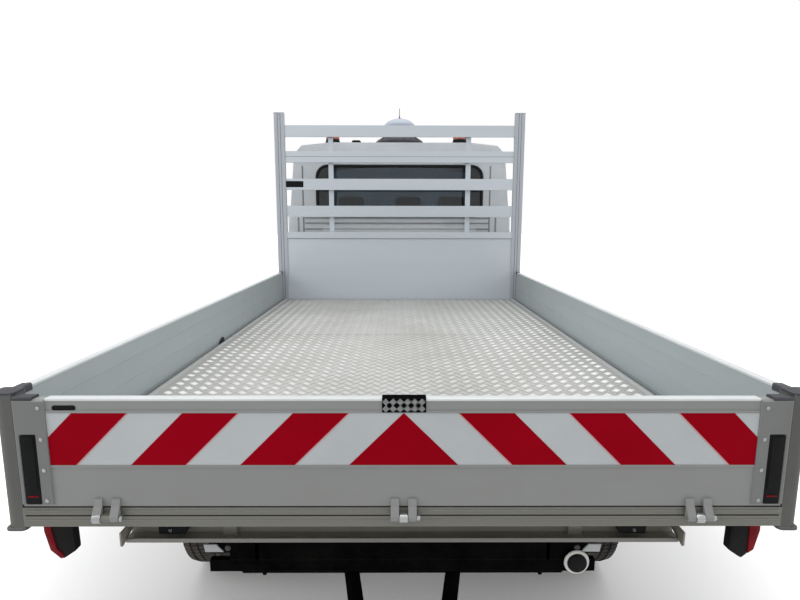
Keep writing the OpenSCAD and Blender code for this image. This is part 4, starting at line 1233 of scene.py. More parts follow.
    def _grip(self) -> None:
        """Builds the small tread plate folded over the middle of the top edge."""
        y = self.face_y
        foot, lid = self.top - 34, self.top + 4
        outline = [(y - 3, foot), (y - 3, lid), (y + 26, lid), (y + 26, lid - 2), (y - 1, lid - 2), (y - 1, foot)]
        plate = Shape().prism(outline, Axis.X, -56.0, 57.0)
        piece(plate, "grip_plate", BLACK_STEEL, "tailboard", 0.4)
        bars = Shape()
        for col in range(6):
            for row in range(2):
                for k in (-1, 0, 1):
                    slope = 45 if (col + row) % 2 else -45
                    place = Matrix.Translation((-46.0 + col * 18.4, y - 3, foot + 10 + row * 18))
                    turn = place @ Matrix.Rotation(math.radians(slope), 4, "Y")
                    bars.box((-7.0, -1.0, -1.2 + k * 4.6), (7.0, 0.4, 1.2 + k * 4.6), turn)
        piece(bars, "grip_plate_bars", BARE_STEEL, "tailboard", 0.5)

    def rail(self) -> None:
        """Builds what stays behind on the rear rail and the corner posts: bushes, nuts, ribs, near-black strips of
        painted shade along the hinge gap, caps and feet.
        """
        y, z = self.face_y - 14.0, PLAN.hinge_z
        bush = Shape()
        for x in self.hinge_x[1:]:
            bush.lathe(list(self.bush), (x, y, z), Axis.X, 24)
        for x in self.hinge_x:
            bush.lathe([(8.5, 34.6), (8.5, 41.0), (7.0, 43.0), (1.0, 43.0)], (x, y, z), Axis.X, 6)
        piece(bush, "tail_hinge_bushes", BARE_STEEL, "chassis", 0.6)
        sleeve = Shape().lathe(list(self.bush), (self.hinge_x[0] - 23.0, y, z), Axis.X, 20)
        piece(sleeve, "tail_hinge_sleeve", BARE_STEEL, "tailboard", 0.6)
        y = self.face_y
        # Near-black strips between the bushes, along the hinge line: painted shade of the gap there.
        gap_shade = Shape()
        light = Shape()
        starts = (-994.0, *(x + 12 for x in self.hinge_x))
        ends = (*(x - 12 for x in self.hinge_x), 994.0)
        for x0, x1 in zip(starts, ends):
            gap_shade.box((x0, y - 0.5, 869.5), (x1, y + 1, 873.0))
            light.box((x0, y - 1.2, 858.0), (x1, y + 1, 860.0)).box((x0, y - 1.6, 884.0), (x1, y + 1, 886.5))
        piece(gap_shade, "rail_groove", SEAL, "chassis")
        piece(light, "rail_ribs", RAIL_ALU, "chassis", 0.4)
        caps = Shape()
        feet = Shape()
        for s in (-1, 1):
            x0, x1 = spread(s, 996.0, 1056.5)
            caps.prism(round_rect((x0, y - 1.5), (x1, y + 56.0), 12.0), Axis.Z, 1200.0, 1206.0)
            feet.prism(round_rect((x0 + 2, y - 0.8), (x1 - 2, y + 50.0), 14.0), Axis.Z, 826.0, 835.0)
        piece(caps, "corner_post_caps", CAP_PLASTIC, "chassis", 2.0)
        piece(feet, "corner_post_feet", POST_ALU, "chassis", 3.0)


@dataclass
class SideBoards:
    """Fittings of the two side boards: caps, ribs, latches.

    Attributes:
        y0: Rear end of the boards.
        y1: Front end of the boards.
        inner_x: Inner face.
        outer_x: Outer face.
        top: Upper edge.
    """

    y0: float = -2802.5
    y1: float = 457.5
    inner_x: float = 1030.0
    outer_x: float = PLAN.half_bed
    top: float = PLAN.board_top_z

    def build(self) -> None:
        """Builds both boards' pieces."""
        for s, body in ((1, "dropside_right"), (-1, "dropside_left")):
            self._board(s, body)

    def _board(self, s: int, body: str) -> None:
        """Builds one board's pieces.

        Args:
            s: 1 on the right and -1 on the left.
            body: The board's body.
        """
        a, b, t = self.inner_x, self.outer_x, self.top
        side = "right" if s > 0 else "left"
        outline = [
            (a - 1, t - 6), (a - 1, t - 1), (a + 1, t + 2), (b - 1, t + 2), (b + 1, t - 1),
            (b + 1, t - 6), (b - 1, t - 6), (b - 2, t - 1.5), (a + 2, t - 1.5), (a + 1, t - 6),
        ]
        cap = Shape().prism([(s * x, z) for x, z in outline], Axis.Y, self.y0 + 60, self.y1 - 2)
        piece(cap, f"board_top_edge_{side}", EDGE_WHITE, body, 0.4)
        ribs = Shape()
        for z in (962.0, 1042.0, 1122.0):
            lo, hi = spread(s, a - 1.2, a + 0.5)
            ribs.box((lo, self.y0 + 4, z), (hi, self.y1 - 4, z + 3))
        for z in (912.0, 975.0, 1050.0, 1110.0, 1165.0):
            lo, hi = spread(s, b - 0.5, b + 1.6)
            ribs.box((lo, self.y0 + 45, z), (hi, self.y1 - 45, z + 4))
        piece(ribs, f"board_ribs_{side}", BOARD_ALU, body, 0.4)
        ends = Shape()
        outline = [
            (a - 2, t - 14), (a - 2, t + 2), (a + 1, t + 6), (b - 1, t + 6), (b + 2, t + 2),
            (b + 2, t - 14), (b + 0.5, t - 14), (b + 0.5, t - 1), (a - 0.5, t - 1), (a - 0.5, t - 14),
        ]
        for y0, y1 in ((self.y0, self.y0 + 62), (self.y1 - 40, self.y1)):
            ends.prism([(s * x, z) for x, z in outline], Axis.Y, y0, y1)
        piece(ends, f"board_end_caps_{side}", CAP_PLASTIC, body, 0.8)
        latch = Shape()
        grip = Shape()
        for y in (self.y0 + 34, self.y1 - 34):
            lo, hi = spread(s, b - 0.5, b + 4)
            latch.prism(round_rect((y - 24, 910.0), (y + 24, 1160.0), 8.0), Axis.X, lo, hi)
            lo, hi = spread(s, b + 3, b + 10)
            grip.prism(round_rect((y - 12, 985.0), (y + 12, 1130.0), 9.0), Axis.X, lo, hi)
        piece(latch, f"side_latches_{side}", POST_ALU, body, 0.8)
        piece(grip, f"side_latch_handles_{side}", BLACK_STEEL, body, 1.5)
        repeated(
            rivet(6.0, 2.5, Axis.X, float(s)), f"side_board_rivets_{side}", BARE_STEEL, body, "iron", columns=2,
            rows=4, step=(0.0, self.y1 - self.y0 - 124.0, 0.0), row_step=(0.0, 0.0, 68.0),
            start=(s * (b + 1.0), self.y0 + 62.0, 930.0),
        )


@dataclass
class LoadFloor:
    """The five-bar tread plate, its joint and its edge profiles.

    Attributes:
        cell: Size of the repeated cell, which holds two groups of bars.
        bar: Length of a bar.
        width: Its width.
        rise: Its height.
        pitch: From bar to bar in a group.
        seam_y: Joint between the two plates.
        group: Bars in a group, an odd number.
    """

    cell: float = 60.0
    bar: float = 30.0
    width: float = 4.4
    rise: float = 1.5
    pitch: float = 7.8
    seam_y: float = -1007.0
    group: int = 5

    def _bar(self, x: float, y: float, slope: float) -> tuple[list[Point], list[tuple[int, ...]]]:
        """Corners and faces of one raised bar, pointed at its ends.

        Args:
            x: Its middle across.
            y: Its middle along.
            slope: Its turn in degrees.

        Returns:
            Corners and faces.
        """
        a = math.radians(slope)
        along, across = (math.cos(a), math.sin(a)), (-math.sin(a), math.cos(a))

        def at(u: float, v: float, z: float) -> Point:
            """A point given along and across the bar."""
            return (x + u * along[0] + v * across[0], y + u * along[1] + v * across[1], z)

        h, w = self.bar / 2, self.width / 2
        low = -0.2
        verts = [
            at(-h, 0, low), at(-h * 0.55, w, low), at(h * 0.55, w, low), at(h, 0, low), at(h * 0.55, -w, low),
            at(-h * 0.55, -w, low), at(-h * 0.5, 0, self.rise), at(h * 0.5, 0, self.rise),
        ]
        faces = [(0, 6, 1), (1, 6, 7, 2), (2, 7, 3), (3, 7, 4), (4, 7, 6, 5), (5, 6, 0), (0, 1, 2, 3, 4, 5)]
        return verts, faces

    def build(self) -> None:
        """Builds the pieces of the floor."""
        cell = Shape()
        for ox, oy, slope in ((0.0, 0.0, 45.0), (self.cell / 2, self.cell / 2, -45.0)):
            a = math.radians(slope + 90)
            for k in range(-(self.group // 2), self.group // 2 + 1):
                cell.add(*self._bar(ox + k * self.pitch * math.cos(a), oy + k * self.pitch * math.sin(a), slope))
        columns = int((2 * PLAN.half_floor - 40) / self.cell)
        rows = int((PLAN.floor_y1 - PLAN.floor_y0 - 20) / self.cell)
        start = (-(columns - 0.5) * self.cell / 2, PLAN.floor_y0 + 24, PLAN.floor_z)
        repeated(cell, "tread_bars", TREAD_BAR, "chassis", "aluminium", columns=columns, rows=rows,
                 step=(self.cell, 0.0, 0.0), row_step=(0.0, self.cell, 0.0), start=start)
        z = PLAN.floor_z
        seams = Shape().box((-990.0, self.seam_y - 1.5, z - 1), (990.0, self.seam_y + 1.5, z + 0.4))
        seams.box((-1006.5, PLAN.floor_y0 + 60, z - 1), (-1004.0, PLAN.floor_y1, z + 0.6))
        seams.box((1004.0, PLAN.floor_y0 + 60, z - 1), (1006.5, PLAN.floor_y1, z + 0.6))
        piece(seams, "floor_joints", CAP_PLASTIC, "chassis")
        edges = Shape().prism(
            [
                (990.0, z - 1), (991.5, z + 2.0), (1003.0, z + 2.0), (1003.0, z + 7.0), (1004.5, z + 7.0),
                (1004.5, z - 1),
            ],
            Axis.Y, PLAN.floor_y0 + 60, PLAN.floor_y1 - 1,
        ).mirrored()
        piece(edges, "floor_edge_profiles", EDGE_ALU, "chassis", 0.4)
        foot = Shape().prism(
            [(-1250.0, z + 2), (-1170.0, z + 2), (-1182.0, z + 26), (-1200.0, z + 26)], Axis.X, -1026.0, -1019.0,
        )
        piece(foot, "drain_flap", SEAL, "chassis", 0.6)


@dataclass
class Headboard:
    """Joints, lines, caps and blank label of the headboard.

    Attributes:
        slats: Foot of each slat above the floor.
        top: Upper end of the posts.
        inner_x: Inner face of the posts.
        outer_x: Outer face of the posts.
    """

    slats: tuple[float, ...] = (723.0, 952.0, 1182.0, 1395.0)
    top: float = 2537.0
    inner_x: float = 980.0
    outer_x: float = 1065.0

    def build(self) -> None:
        """Builds the pieces of the headboard."""
        y = PLAN.head_y0
        z = PLAN.floor_z
        faint = Shape()
        for h in (134.0, 269.0, 404.0):
            faint.box((-979.0, y + 7.3, z + h), (979.0, y + 8.5, z + h + 1.6))
        for h in self.slats:
            for k in (22.0, 70.0):
                faint.box((-979.0, y + 7.3, z + h + k), (979.0, y + 8.5, z + h + k + 1.2))
        piece(faint, "headboard_joints", HEAD_ALU, "chassis")
        lines = Shape().box((-979.0, y + 7.6, z + self.slats[2] + 47.0), (979.0, y + 12.0, z + self.slats[2] + 51.0))
        lines.box((-979.0, y + 1.2, z + 536.5), (979.0, y + 9, z + 539))
        for a in (0.36, 0.62):
            x = self.inner_x + a * (self.outer_x - self.inner_x)
            for s in (-1, 1):
                lo, hi = spread(s, x - 2.4, x + 2.4)
                lines.box((lo, y + 2.2, PLAN.edge_low_z + 4), (hi, y + 3.9, self.top - 3))
        piece(lines, "headboard_lines", HEAD_LINE, "chassis")
        caps = Shape().prism(
            round_rect((self.inner_x - 0.5, y - 0.5), (self.outer_x + 0.5, y + 40.5), 6.0), Axis.Z, self.top,
            self.top + 4,
        ).mirrored()
        piece(caps, "post_caps", HEAD_LINE, "chassis", 1.0)
        tips = Shape()
        for x in (-592.0, 575.0):
            for h in (self.slats[3] - 4.0, self.slats[2] - 4.0):
                tips.box((x - 17, y + 17, z + h), (x + 17, y + 32.0, z + h + 4))
        piece(tips, "strip_ends", HEAD_LINE, "chassis")
        label = Shape().prism(round_rect((-978.0, z + 974.0), (-828.0, z + 1026.0), 4.0), Axis.Y, y + 6.6, y + 8.5)
        piece(label, "headboard_blank_label", PLASTIC, "chassis", 0.4)


@dataclass
class CabRear:
    """The window's seal and the creases of the cab's rear wall, whose shade is painted in a darker grey.

    Attributes:
        y: The wall's outer face.
        half_w: Half the window's width.
        low: Its lower edge.
        top: Its upper edge.
        creases_z: Heights of the creases across the wall.
    """

    y: float = PLAN.cab_y
    half_w: float = 725.0
    low: float = 1695.0
    top: float = 2111.0
    creases_z: tuple[float, ...] = (1566.0, 1618.0, 1664.0)

    def build(self) -> None:
        """Builds the pieces of the rear wall."""
        w = self.half_w + 6
        outline = round_rect((-w, self.low - 6), (w, self.top + 6), 94.0, 8)
        ring = [(x, self.y - 1.5, z) for x, z in outline]
        piece(Shape().tube(ring, 13.0, 10, True), "rear_window_seal", SEAL, "chassis")
        crease_shade = Shape()
        y, foot = self.y, 1300.0
        for x, top in ((-859.0, 2120.0), (805.0, 2120.0), (-905.0, 1668.0), (862.0, 1668.0)):
            outline = [(x - 9, y + 1), (x - 3, y - 2.5), (x + 3, y - 2.5), (x + 9, y + 1)]
            crease_shade.prism(outline, Axis.Z, foot, top)
        for z in self.creases_z:
            outline = [(y + 1, z - 6), (y - 9, z - 3), (y - 9, z + 3), (y + 1, z + 6)]
            crease_shade.prism(outline, Axis.X, -846.0, 796.0)
        # The creases are drawn darker than the wall: painted shade.
        piece(crease_shade, "rear_wall_creases", CREASE_SHADE, "chassis")
        defrost = Shape()
        for k in range(9):
            z = self.low + 50 + k * 38
            defrost.box((-640.0, self.y + 9.2, z), (640.0, self.y + 9.6, z + 1.6))
        piece(defrost, "rear_window_wires", CAP_PLASTIC, "chassis")


@dataclass
class Roof:
    """The two beacons, the dome with its whip antenna and the junction box.

    Attributes:
        beacon_x: Middles of the beacons.
        beacon_y: Their place along the cab.
        beacon_z: Height from which they are drawn, inside the roof.
        dome_y: The dome's place along the cab.
        dome_z: Height from which it is drawn, inside the roof.
        ribs: Ribs round the dome's skirt.
        prisms: Ribs round a beacon's lens.
    """

    beacon_x: tuple[float, float] = (-606.0, 546.0)
    beacon_y: float = PLAN.cab_y + 170.0
    beacon_z: float = 2280.0
    dome_y: float = PLAN.cab_y + 232.0
    dome_z: float = 2300.0
    ribs: int = 18
    prisms: int = 24

    def build(self) -> None:
        """Builds what stands on the roof, in place of the CAD solid."""
        self._dome()
        self._beacons()
        outline = [
            (-445.0, 2312.0), (-352.0, 2312.0), (-358.0, 2364.0), (-370.0, 2372.0), (-428.0, 2372.0),
            (-438.0, 2364.0),
        ]
        box = Shape().prism(outline, Axis.Y, self.beacon_y + 60, self.beacon_y + 140)
        piece(box, "roof_junction_box", PLASTIC, "chassis", 2.0)

    def _dome(self) -> None:
        """Builds the dome on its ribbed skirt, and the whip."""
        low = self.dome_z
        skirt = Shape().lathe(
            [(216.0, 2.0), (219.0, 46.0), (214.0, 54.0), (172.0, 78.0), (128.0, 102.0), (100.0, 104.0)],
            (0.0, self.dome_y, low), Axis.Z, 48,
        )
        made = piece(skirt, "dome_skirt", CAP_PLASTIC, "chassis", 1.0)
        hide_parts("roof_fittings")
        ribs = Shape().prism([(128.0, 103.0), (214.0, 55.0), (214.0, 58.0), (132.0, 106.0)], Axis.Y, -2.0, 2.0)
        ribs.verts = [Vector((-v.z, v.y, v.x)) for v in ribs.verts]
        repeated(
            ribs, "dome_skirt_ribs", PLASTIC, "chassis", "dark_plastic", columns=self.ribs, ring=True,
            start=(0.0, self.dome_y, low), turn=(0.0, 90.0, 0.0),
        )
        profile = [
            (112.0, 102.0), (118.0, 130.0), (128.0, 148.0), (136.0, 163.0), (141.0, 178.0), (142.0, 190.0),
            (138.0, 203.0), (126.0, 219.0), (104.0, 235.0), (78.0, 247.0), (50.0, 256.0), (24.0, 261.0),
            (8.0, 263.0),
        ]
        dome = Shape().lathe(profile, (0.0, self.dome_y, low), Axis.Z, 56)
        piece(dome, "roof_dome", DOME_WHITE, "chassis")
        whip = Shape().lathe(
            [(13.0, 260.0), (12.0, 266.0), (5.0, 272.0), (2.6, 290.0), (2.2, 348.0), (3.0, 350.0), (1.0, 352.0)],
            (0.0, self.dome_y, low), Axis.Z, 12,
        )
        piece(whip, "antenna", PLASTIC, "chassis")

    def _beacons(self) -> None:
        """Builds both beacons: base, clamp ring and ribbed lens."""
        bases = Shape()
        lenses = Shape()
        rings = Shape()
        low, lens_r = self.beacon_z, 58.0
        base = [(66.0, 5.0), (66.0, 64.0), (62.0, 74.0), (60.0, 85.0), (54.0, 87.0)]
        lens = [
            (52.0, 84.0), (lens_r, 86.0), (lens_r, 130.0), (55.0, 156.0), (46.0, 168.0), (20.0, 173.0), (2.0, 174.0),
        ]
        for x in self.beacon_x:
            centre = (x, self.beacon_y, low)
            bases.lathe(base, centre, Axis.Z, 32)
            lenses.lathe(lens, centre, Axis.Z, 36)
            turns = [2 * math.pi * k / 28 for k in range(28)]
            ring = [(x + lens_r * math.cos(a), self.beacon_y + lens_r * math.sin(a), low + 86) for a in turns]
            rings.tube(ring, 4.0, 6, True)
        piece(bases, "beacon_bases", PLASTIC, "chassis", 1.5)
        piece(lenses, "beacon_lenses", LENS_AMBER, "chassis")
        piece(rings, "beacon_clamp_rings", CAP_PLASTIC, "chassis")
        rib = Shape().box((90.0, -1.6, 57.0), (150.0, 1.6, 59.4))
        for x in self.beacon_x:
            name = "beacon_ribs_left" if x < 0 else "beacon_ribs_right"
            repeated(
                rib, name, LENS_AMBER, "chassis", "amber", columns=self.prisms, ring=True,
                start=(x, self.beacon_y, low), turn=(0.0, -90.0, 0.0),
            )


@dataclass
class CabFront:
    """Seals, wipers, lamps, plate and small trim of the cab.

    Attributes:
        screen_r: Radius of the windscreen's curve, seen from above.
        screen_run: How far the windscreen leans back.
        screen_rise: How far it rises.
        screen_slope: Its angle from level.
    """

    screen_r: float = 2300.0
    screen_run: float = PLAN.screen_foot_y - PLAN.screen_head_y
    screen_rise: float = 895.0
    screen_slope: float = math.atan2(screen_rise, screen_run)

    def on_screen(self, x: float, up: float, out: float) -> Point:
        """A point given across, up and out of the curved windscreen.

        Args:
            x: Distance across.
            up: Distance up the slope.
            out: Distance out of the glass.

        Returns:
            The point.
        """
        w = out - self.screen_r + math.sqrt(self.screen_r ** 2 - x * x)
        c, s = math.cos(self.screen_slope), math.sin(self.screen_slope)
        return (x, PLAN.screen_foot_y - (up * c - w * s), PLAN.cowl_z + up * s + w * c)

    @staticmethod
    def skin_x(z: float) -> float:
        """Distance of the cab's side from the middle at a height.

        Args:
            z: The height.

        Returns:
            The distance.
        """
        knots = [
            (400.0, PLAN.half_cab), (1450.0, PLAN.half_cab), (1560.0, 991.0), (2146.0, 936.0), (2200.0, 926.0),
            (2250.0, 902.0),
        ]
        for (z0, x0), (z1, x1) in zip(knots, knots[1:]):
            if z <= z1:
                return x0 + (x1 - x0) * max(z - z0, 0.0) / (z1 - z0)
        return knots[-1][1]

    def build(self) -> None:
        """Builds the pieces of the cab's front and sides."""
        self._screen()
        for s, body in ((1, "door_right"), (-1, "door_left")):
            self._door(s, body)
        self._nose()
        self._flanks()

    def _screen(self) -> None:
        """Builds the windscreen's seal and the wipers."""
        length = math.hypot(self.screen_run, self.screen_rise)
        outline = [
            (-790.0, 70.0), (790.0, 70.0), (800.0, 130.0), (742.0, length - 80), (700.0, length - 40),
            (-700.0, length - 40), (-742.0, length - 80), (-800.0, 130.0),
        ]
        path = [self.on_screen(x, up, -1.0) for x, up in traced(outline, 90.0)]
        piece(Shape().tube(path, 9.0, 8, True), "windscreen_seal", SEAL, "chassis")
        arms = Shape()
        blades = Shape()
        for x0, x1 in ((620.0, 130.0), (-40.0, -560.0)):
            arm = [
                self.on_screen(x0, 40.0, 22.0), self.on_screen(x0 - 30, 95.0, 24.0),
                self.on_screen((x0 + x1) / 2, 150.0, 20.0),
            ]
            arms.tube(arm, 7.0, 8)
            arms.lathe([(16.0, -18.0), (16.0, 14.0), (11.0, 20.0), (1.0, 20.0)], arm[0], Axis.Z, 16)
            blade = [self.on_screen(x0 - 20 + (x1 - x0) * k / 8, 112.0 + 70.0 * k / 8, 10.0) for k in range(9)]
            blades.tube(blade, 6.5, 6)
        piece(arms, "wiper_arms", BLACK_STEEL, "chassis")
        piece(blades, "wiper_blades", RUBBER, "chassis")

    def _door(self, s: int, body: str) -> None:
        """Builds seal, mirror glass, handle and trim of one door.

        Args:
            s: 1 on the right and -1 on the left.
            body: The door's body.
        """
        side = "right" if s > 0 else "left"
        r, f = PLAN.door_rear_y, PLAN.door_front_y
        top_y = f - (PLAN.header_z - 1580.0) / math.tan(self.screen_slope)
        window = [
            (r + 79, 1421.0), (r + 79, 2068.0), (r + 96, 2085.0), (top_y - 92, 2091.0), (top_y - 62, 2062.0),
            (f - 82, 1560.0), (f - 80, 1421.0),
        ]
        path = [(s * (self.skin_x(z) - 1.0), y, z) for y, z in traced(window, 80.0)]
        piece(Shape().tube(path, 8.0, 8, True), f"door_window_seal_{side}", SEAL, body)
        glass = Shape().prism(round_rect((1048.0, 1434.0), (1178.0, 1706.0), 26.0), Axis.Y, f - 153, f - 149)
        outline = [
            (994.0, r + 38), (1008.0, r + 50), (1013.0, r + 84), (1013.0, r + 176), (1008.0, r + 210),
            (994.0, r + 222), (994.0, r + 206), (1002.0, r + 190), (1002.0, r + 70), (994.0, r + 54),
        ]
        grip = Shape().prism(outline, Axis.Z, 1280.0, 1310.0)
        outline = [(998.0, 905.0), (1006.0, 912.0), (1006.0, 955.0), (998.0, 962.0)]
        trim = Shape().prism(outline, Axis.Y, r + 8, f - 195)
        if s < 0:
            for shape in (glass, grip, trim):
                shape.flipped()
        piece(glass, f"mirror_glass_{side}", REFLECTOR, body, 0.6)
        piece(grip, f"door_handle_{side}", PLASTIC, body, 2.0)
        piece(trim, f"door_rub_strip_{side}", PLASTIC, body, 1.5)
        profile = [(10.0, s * -2.0), (10.0, s * 3.0), (8.0, s * 4.0), (1.0, s * 4.0)]
        lock = Shape().lathe(profile, (s * 997.0, r + 250, 1295.0), Axis.X, 16)
        piece(lock, f"door_lock_{side}", BARE_STEEL, body)

    def _nose(self) -> None:
        """Builds lamp insides, grille, plate and the bars of the bumper's intake."""
        y = PLAN.nose_y
        bowls = Shape()
        for x, dy, r, z in ((615.0, -95.0, 76.0, 985.0), (775.0, -190.0, 48.0, 1010.0), (770.0, -185.0, 36.0, 905.0)):
            bowls.lathe(
                [(r, 0.0), (r * 0.8, -r * 0.35), (r * 0.35, -r * 0.6), (6.0, -r * 0.62)], (x, y + dy, z), Axis.Y, 28,
            )
        bowls.mirrored()
        piece(bowls, "headlamp_reflectors", REFLECTOR, "chassis")
        slat = Shape().prism([(-452.0, 0.0), (452.0, 0.0), (452.0, 6.0), (-452.0, 6.0)], Axis.Y, -40.0, -8.0)
        repeated(
            slat, "grille_bars", PLASTIC, "chassis", "dark_plastic", columns=1, rows=9, row_step=(0.0, 0.0, 22.0),
            start=(0.0, y - 20, 890.0),
        )
        edge = round_rect((-470.0, 862.0), (470.0, 1080.0), 20.0)
        rim = Shape().tube([(x, y - 3 - (abs(x) / 494) ** 2 * 12, z) for x, z in edge], 6.0, 8, True)
        piece(rim, "grille_frame", BARE_STEEL, "chassis")
        plate = Shape().prism(round_rect((-260.0, 585.0), (260.0, 695.0), 8.0), Axis.Y, y - 4, y + 3)
        piece(plate, "blank_front_plate", PLATE_BLANK, "chassis", 0.8)
        strip = Shape().prism([(-258.0, 0.0), (258.0, 0.0), (258.0, 10.0), (-258.0, 10.0)], Axis.Y, -45.0, -20.0)
        repeated(
            strip, "intake_bars", PLASTIC, "chassis", "dark_plastic", columns=1, rows=4, row_step=(0.0, 0.0, 28.0),
            start=(0.0, y, 452.0),
        )

    @staticmethod
    def _flanks() -> None:
        """Builds the side markers and the lips of the wheel arches."""
        marker = Shape().prism(
            round_rect((PLAN.door_front_y + 60, 1180.0), (PLAN.door_front_y + 130, 1210.0), 8.0), Axis.X, 994.0,
            1003.0,
        ).mirrored()
        piece(marker, "side_markers", LENS_AMBER, "chassis", 1.5)
        arch = Shape()
        cy, radius = PLAN.front_axle_y, 431.0
        turns = [math.radians(-5 + 190 * k / 36) for k in range(37)]
        path = [(1001.0, cy + radius * math.cos(a), PLAN.hub_z + radius * math.sin(a)) for a in turns]
        arch.tube([p for p in path if p[1] > PLAN.door_front_y + 10], 8.0, 8)
        arch.mirrored()
        piece(arch, "wheel_arch_lips", PLASTIC, "chassis")


@dataclass
class Wheels:
    """Tyres with tread, wheel nuts, caps and valves.

    Attributes:
        radius: Radius over the tread.
        base: Radius under the tread blocks.
        half_w: Half the tyre's width.
        rim_r: Radius of the rim's seat.
        blocks: Tread blocks round a tyre.
    """

    radius: float = 350.0
    base: float = 342.0
    half_w: float = 112.5
    rim_r: float = 205.0
    blocks: int = 80

    def build(self) -> None:
        """Builds the four wheels' pieces."""
        for side, s in (("left", -1), ("right", 1)):
            for end, y in (("front", PLAN.front_axle_y), ("rear", PLAN.rear_axle_y)):
                self._wheel(end, side, (s * PLAN.half_track, y, PLAN.hub_z), s)

    def _wheel(self, end: str, side: str, centre: Point, s: int) -> None:
        """Builds one wheel.

        Args:
            end: front or rear.
            side: left or right.
            centre: Its middle.
            s: 1 on the right and -1 on the left.
        """
        self._tyre(end, side, centre)
        self._hub(end, side, centre, s)
        self._brake(end, side, centre, s)

    def _tyre(self, end: str, side: str, centre: Point) -> None:
        """Builds the tyre's body, in place of the CAD solid, and its tread.

        Args:
            end: front or rear.
            side: left or right.
            centre: The wheel's middle.
        """
        body = f"{end}_wheel_{side}"
        w, b, r, t = self.half_w, self.base, self.rim_r, self.radius
        section = [
            (r, -82.0), (r + 14, -84.0), (r + 24, -w + 14), (r + 34, -w + 7), (r + 38, -w + 9), (r + 60, -w),
            (r + 88, -w), (r + 92, -w + 3), (r + 110, -w + 3), (b - 14, -w + 12), (b - 3, -w + 24), (b, -w + 40),
            (b, w - 40), (b - 3, w - 24), (b - 14, w - 12), (r + 110, w - 3), (r + 92, w - 3), (r + 88, w),
            (r + 60, w), (r + 38, w - 9), (r + 34, w - 7), (r + 24, w - 14), (r + 14, 84.0), (r, 82.0),
        ]
        carcass = Shape().lathe(section, centre, Axis.X, 72, True)
        made = piece(carcass, f"{end}_tyre_carcass_{side}", TYRE, body)
        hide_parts(f"{end}_tyre_{side}")
        block = Shape()
        for x0, x1, skew in (
            (-98.0, -66.0, 5.0), (-56.0, -34.0, -4.0), (-26.0, 26.0, 3.0), (34.0, 56.0, -4.0), (66.0, 98.0, 5.0),
        ):
            edge = 7.0 if abs(x0) > 90 or x1 > 90 else 0.0
            low = b - 16 if edge else b - 2
            outer = [t - (edge if x0 < -90 else 0.0), t - (edge if x1 > 90 else 0.0)]
            verts = [
                (x0, -11 + skew, low), (x1, -11 - skew, low), (x1, 11 - skew, low), (x0, 11 + skew, low),
                (x0 + 1, -10 + skew, outer[0]), (x1 - 1, -10 - skew, outer[1]), (x1 - 1, 10 - skew, outer[1]),
                (x0 + 1, 10 + skew, outer[0]),
            ]
            block.add(verts, [(0, 1, 2, 3), (4, 5, 6, 7), (0, 1, 5, 4), (1, 2, 6, 5), (2, 3, 7, 6), (3, 0, 4, 7)])
        repeated(block, f"{end}_tyre_tread_{side}", TYRE, body, "tyre", columns=self.blocks, ring=True, start=centre)

    def _hub(self, end: str, side: str, centre: Point, s: int) -> None:
        """Builds wheel nuts, cap with flange and valve.

        Args:
            end: front or rear.
            side: left or right.
            centre: The wheel's middle.
            s: 1 on the right and -1 on the left.
        """
        body = f"{end}_wheel_{side}"
        r = self.rim_r
        nut = Shape().lathe([(11.0, 60.0), (11.0, 76.0), (8.0, 82.0), (1.0, 82.0)], (0.0, 0.0, 84.0), Axis.X, 6)
        turn = ORIGIN if s > 0 else (0.0, 0.0, 180.0)
        repeated(
            nut, f"{end}_wheel_nuts_{side}", BARE_STEEL, body, "iron", columns=6, ring=True, start=centre,
            turn=turn, bevel=0.8,
        )
        cap = Shape().lathe([(56.0, 58.0), (56.0, 74.0), (50.0, 86.0), (34.0, 92.0), (4.0, 93.0)], ORIGIN, Axis.X, 32)
        flange = [(r - 6, 91.0), (r + 8, 93.0), (r + 11, 90.0), (r + 11, 82.5), (r + 2, 82.5), (r - 4, 84.0)]
        cap.lathe(flange, ORIGIN, Axis.X, 72, True)
        valve = Shape().tube([(40.0, 0.0, r - 52), (68.0, 0.0, r - 40), (84.0, 0.0, r - 34)], 4.0, 8)
        for shape in (cap, valve):
            if s < 0:
                shape.flipped()
            shape.moved(Matrix.Translation(centre))
        piece(cap, f"{end}_wheel_cap_{side}", RIM, body, 0.6)
        piece(valve, f"{end}_valve_{side}", RUBBER, body)

    @staticmethod
    def _brake(end: str, side: str, centre: Point, s: int) -> None:
        """Builds the brake disc or drum of one wheel.

        Args:
            end: front or rear.
            side: left or right.
            centre: The wheel's middle.
            s: 1 on the right and -1 on the left.
        """
        disc = [(40.0, -4.0), (150.0, -4.0), (150.0, -26.0), (70.0, -26.0), (66.0, -8.0), (40.0, -8.0)]
        shell = [
            (40.0, 10.0), (138.0, 8.0), (144.0, -2.0), (144.0, -52.0), (136.0, -58.0), (60.0, -58.0),
            (60.0, -40.0), (40.0, -40.0),
        ]
        profile = [(r, s * x) for r, x in (disc if end == "front" else shell)]
        brake = Shape().lathe(profile, centre, Axis.X, 48, True)
        piece(brake, f"{end}_brake_{side}", IRON, f"{end}_wheel_{side}", 0.8)


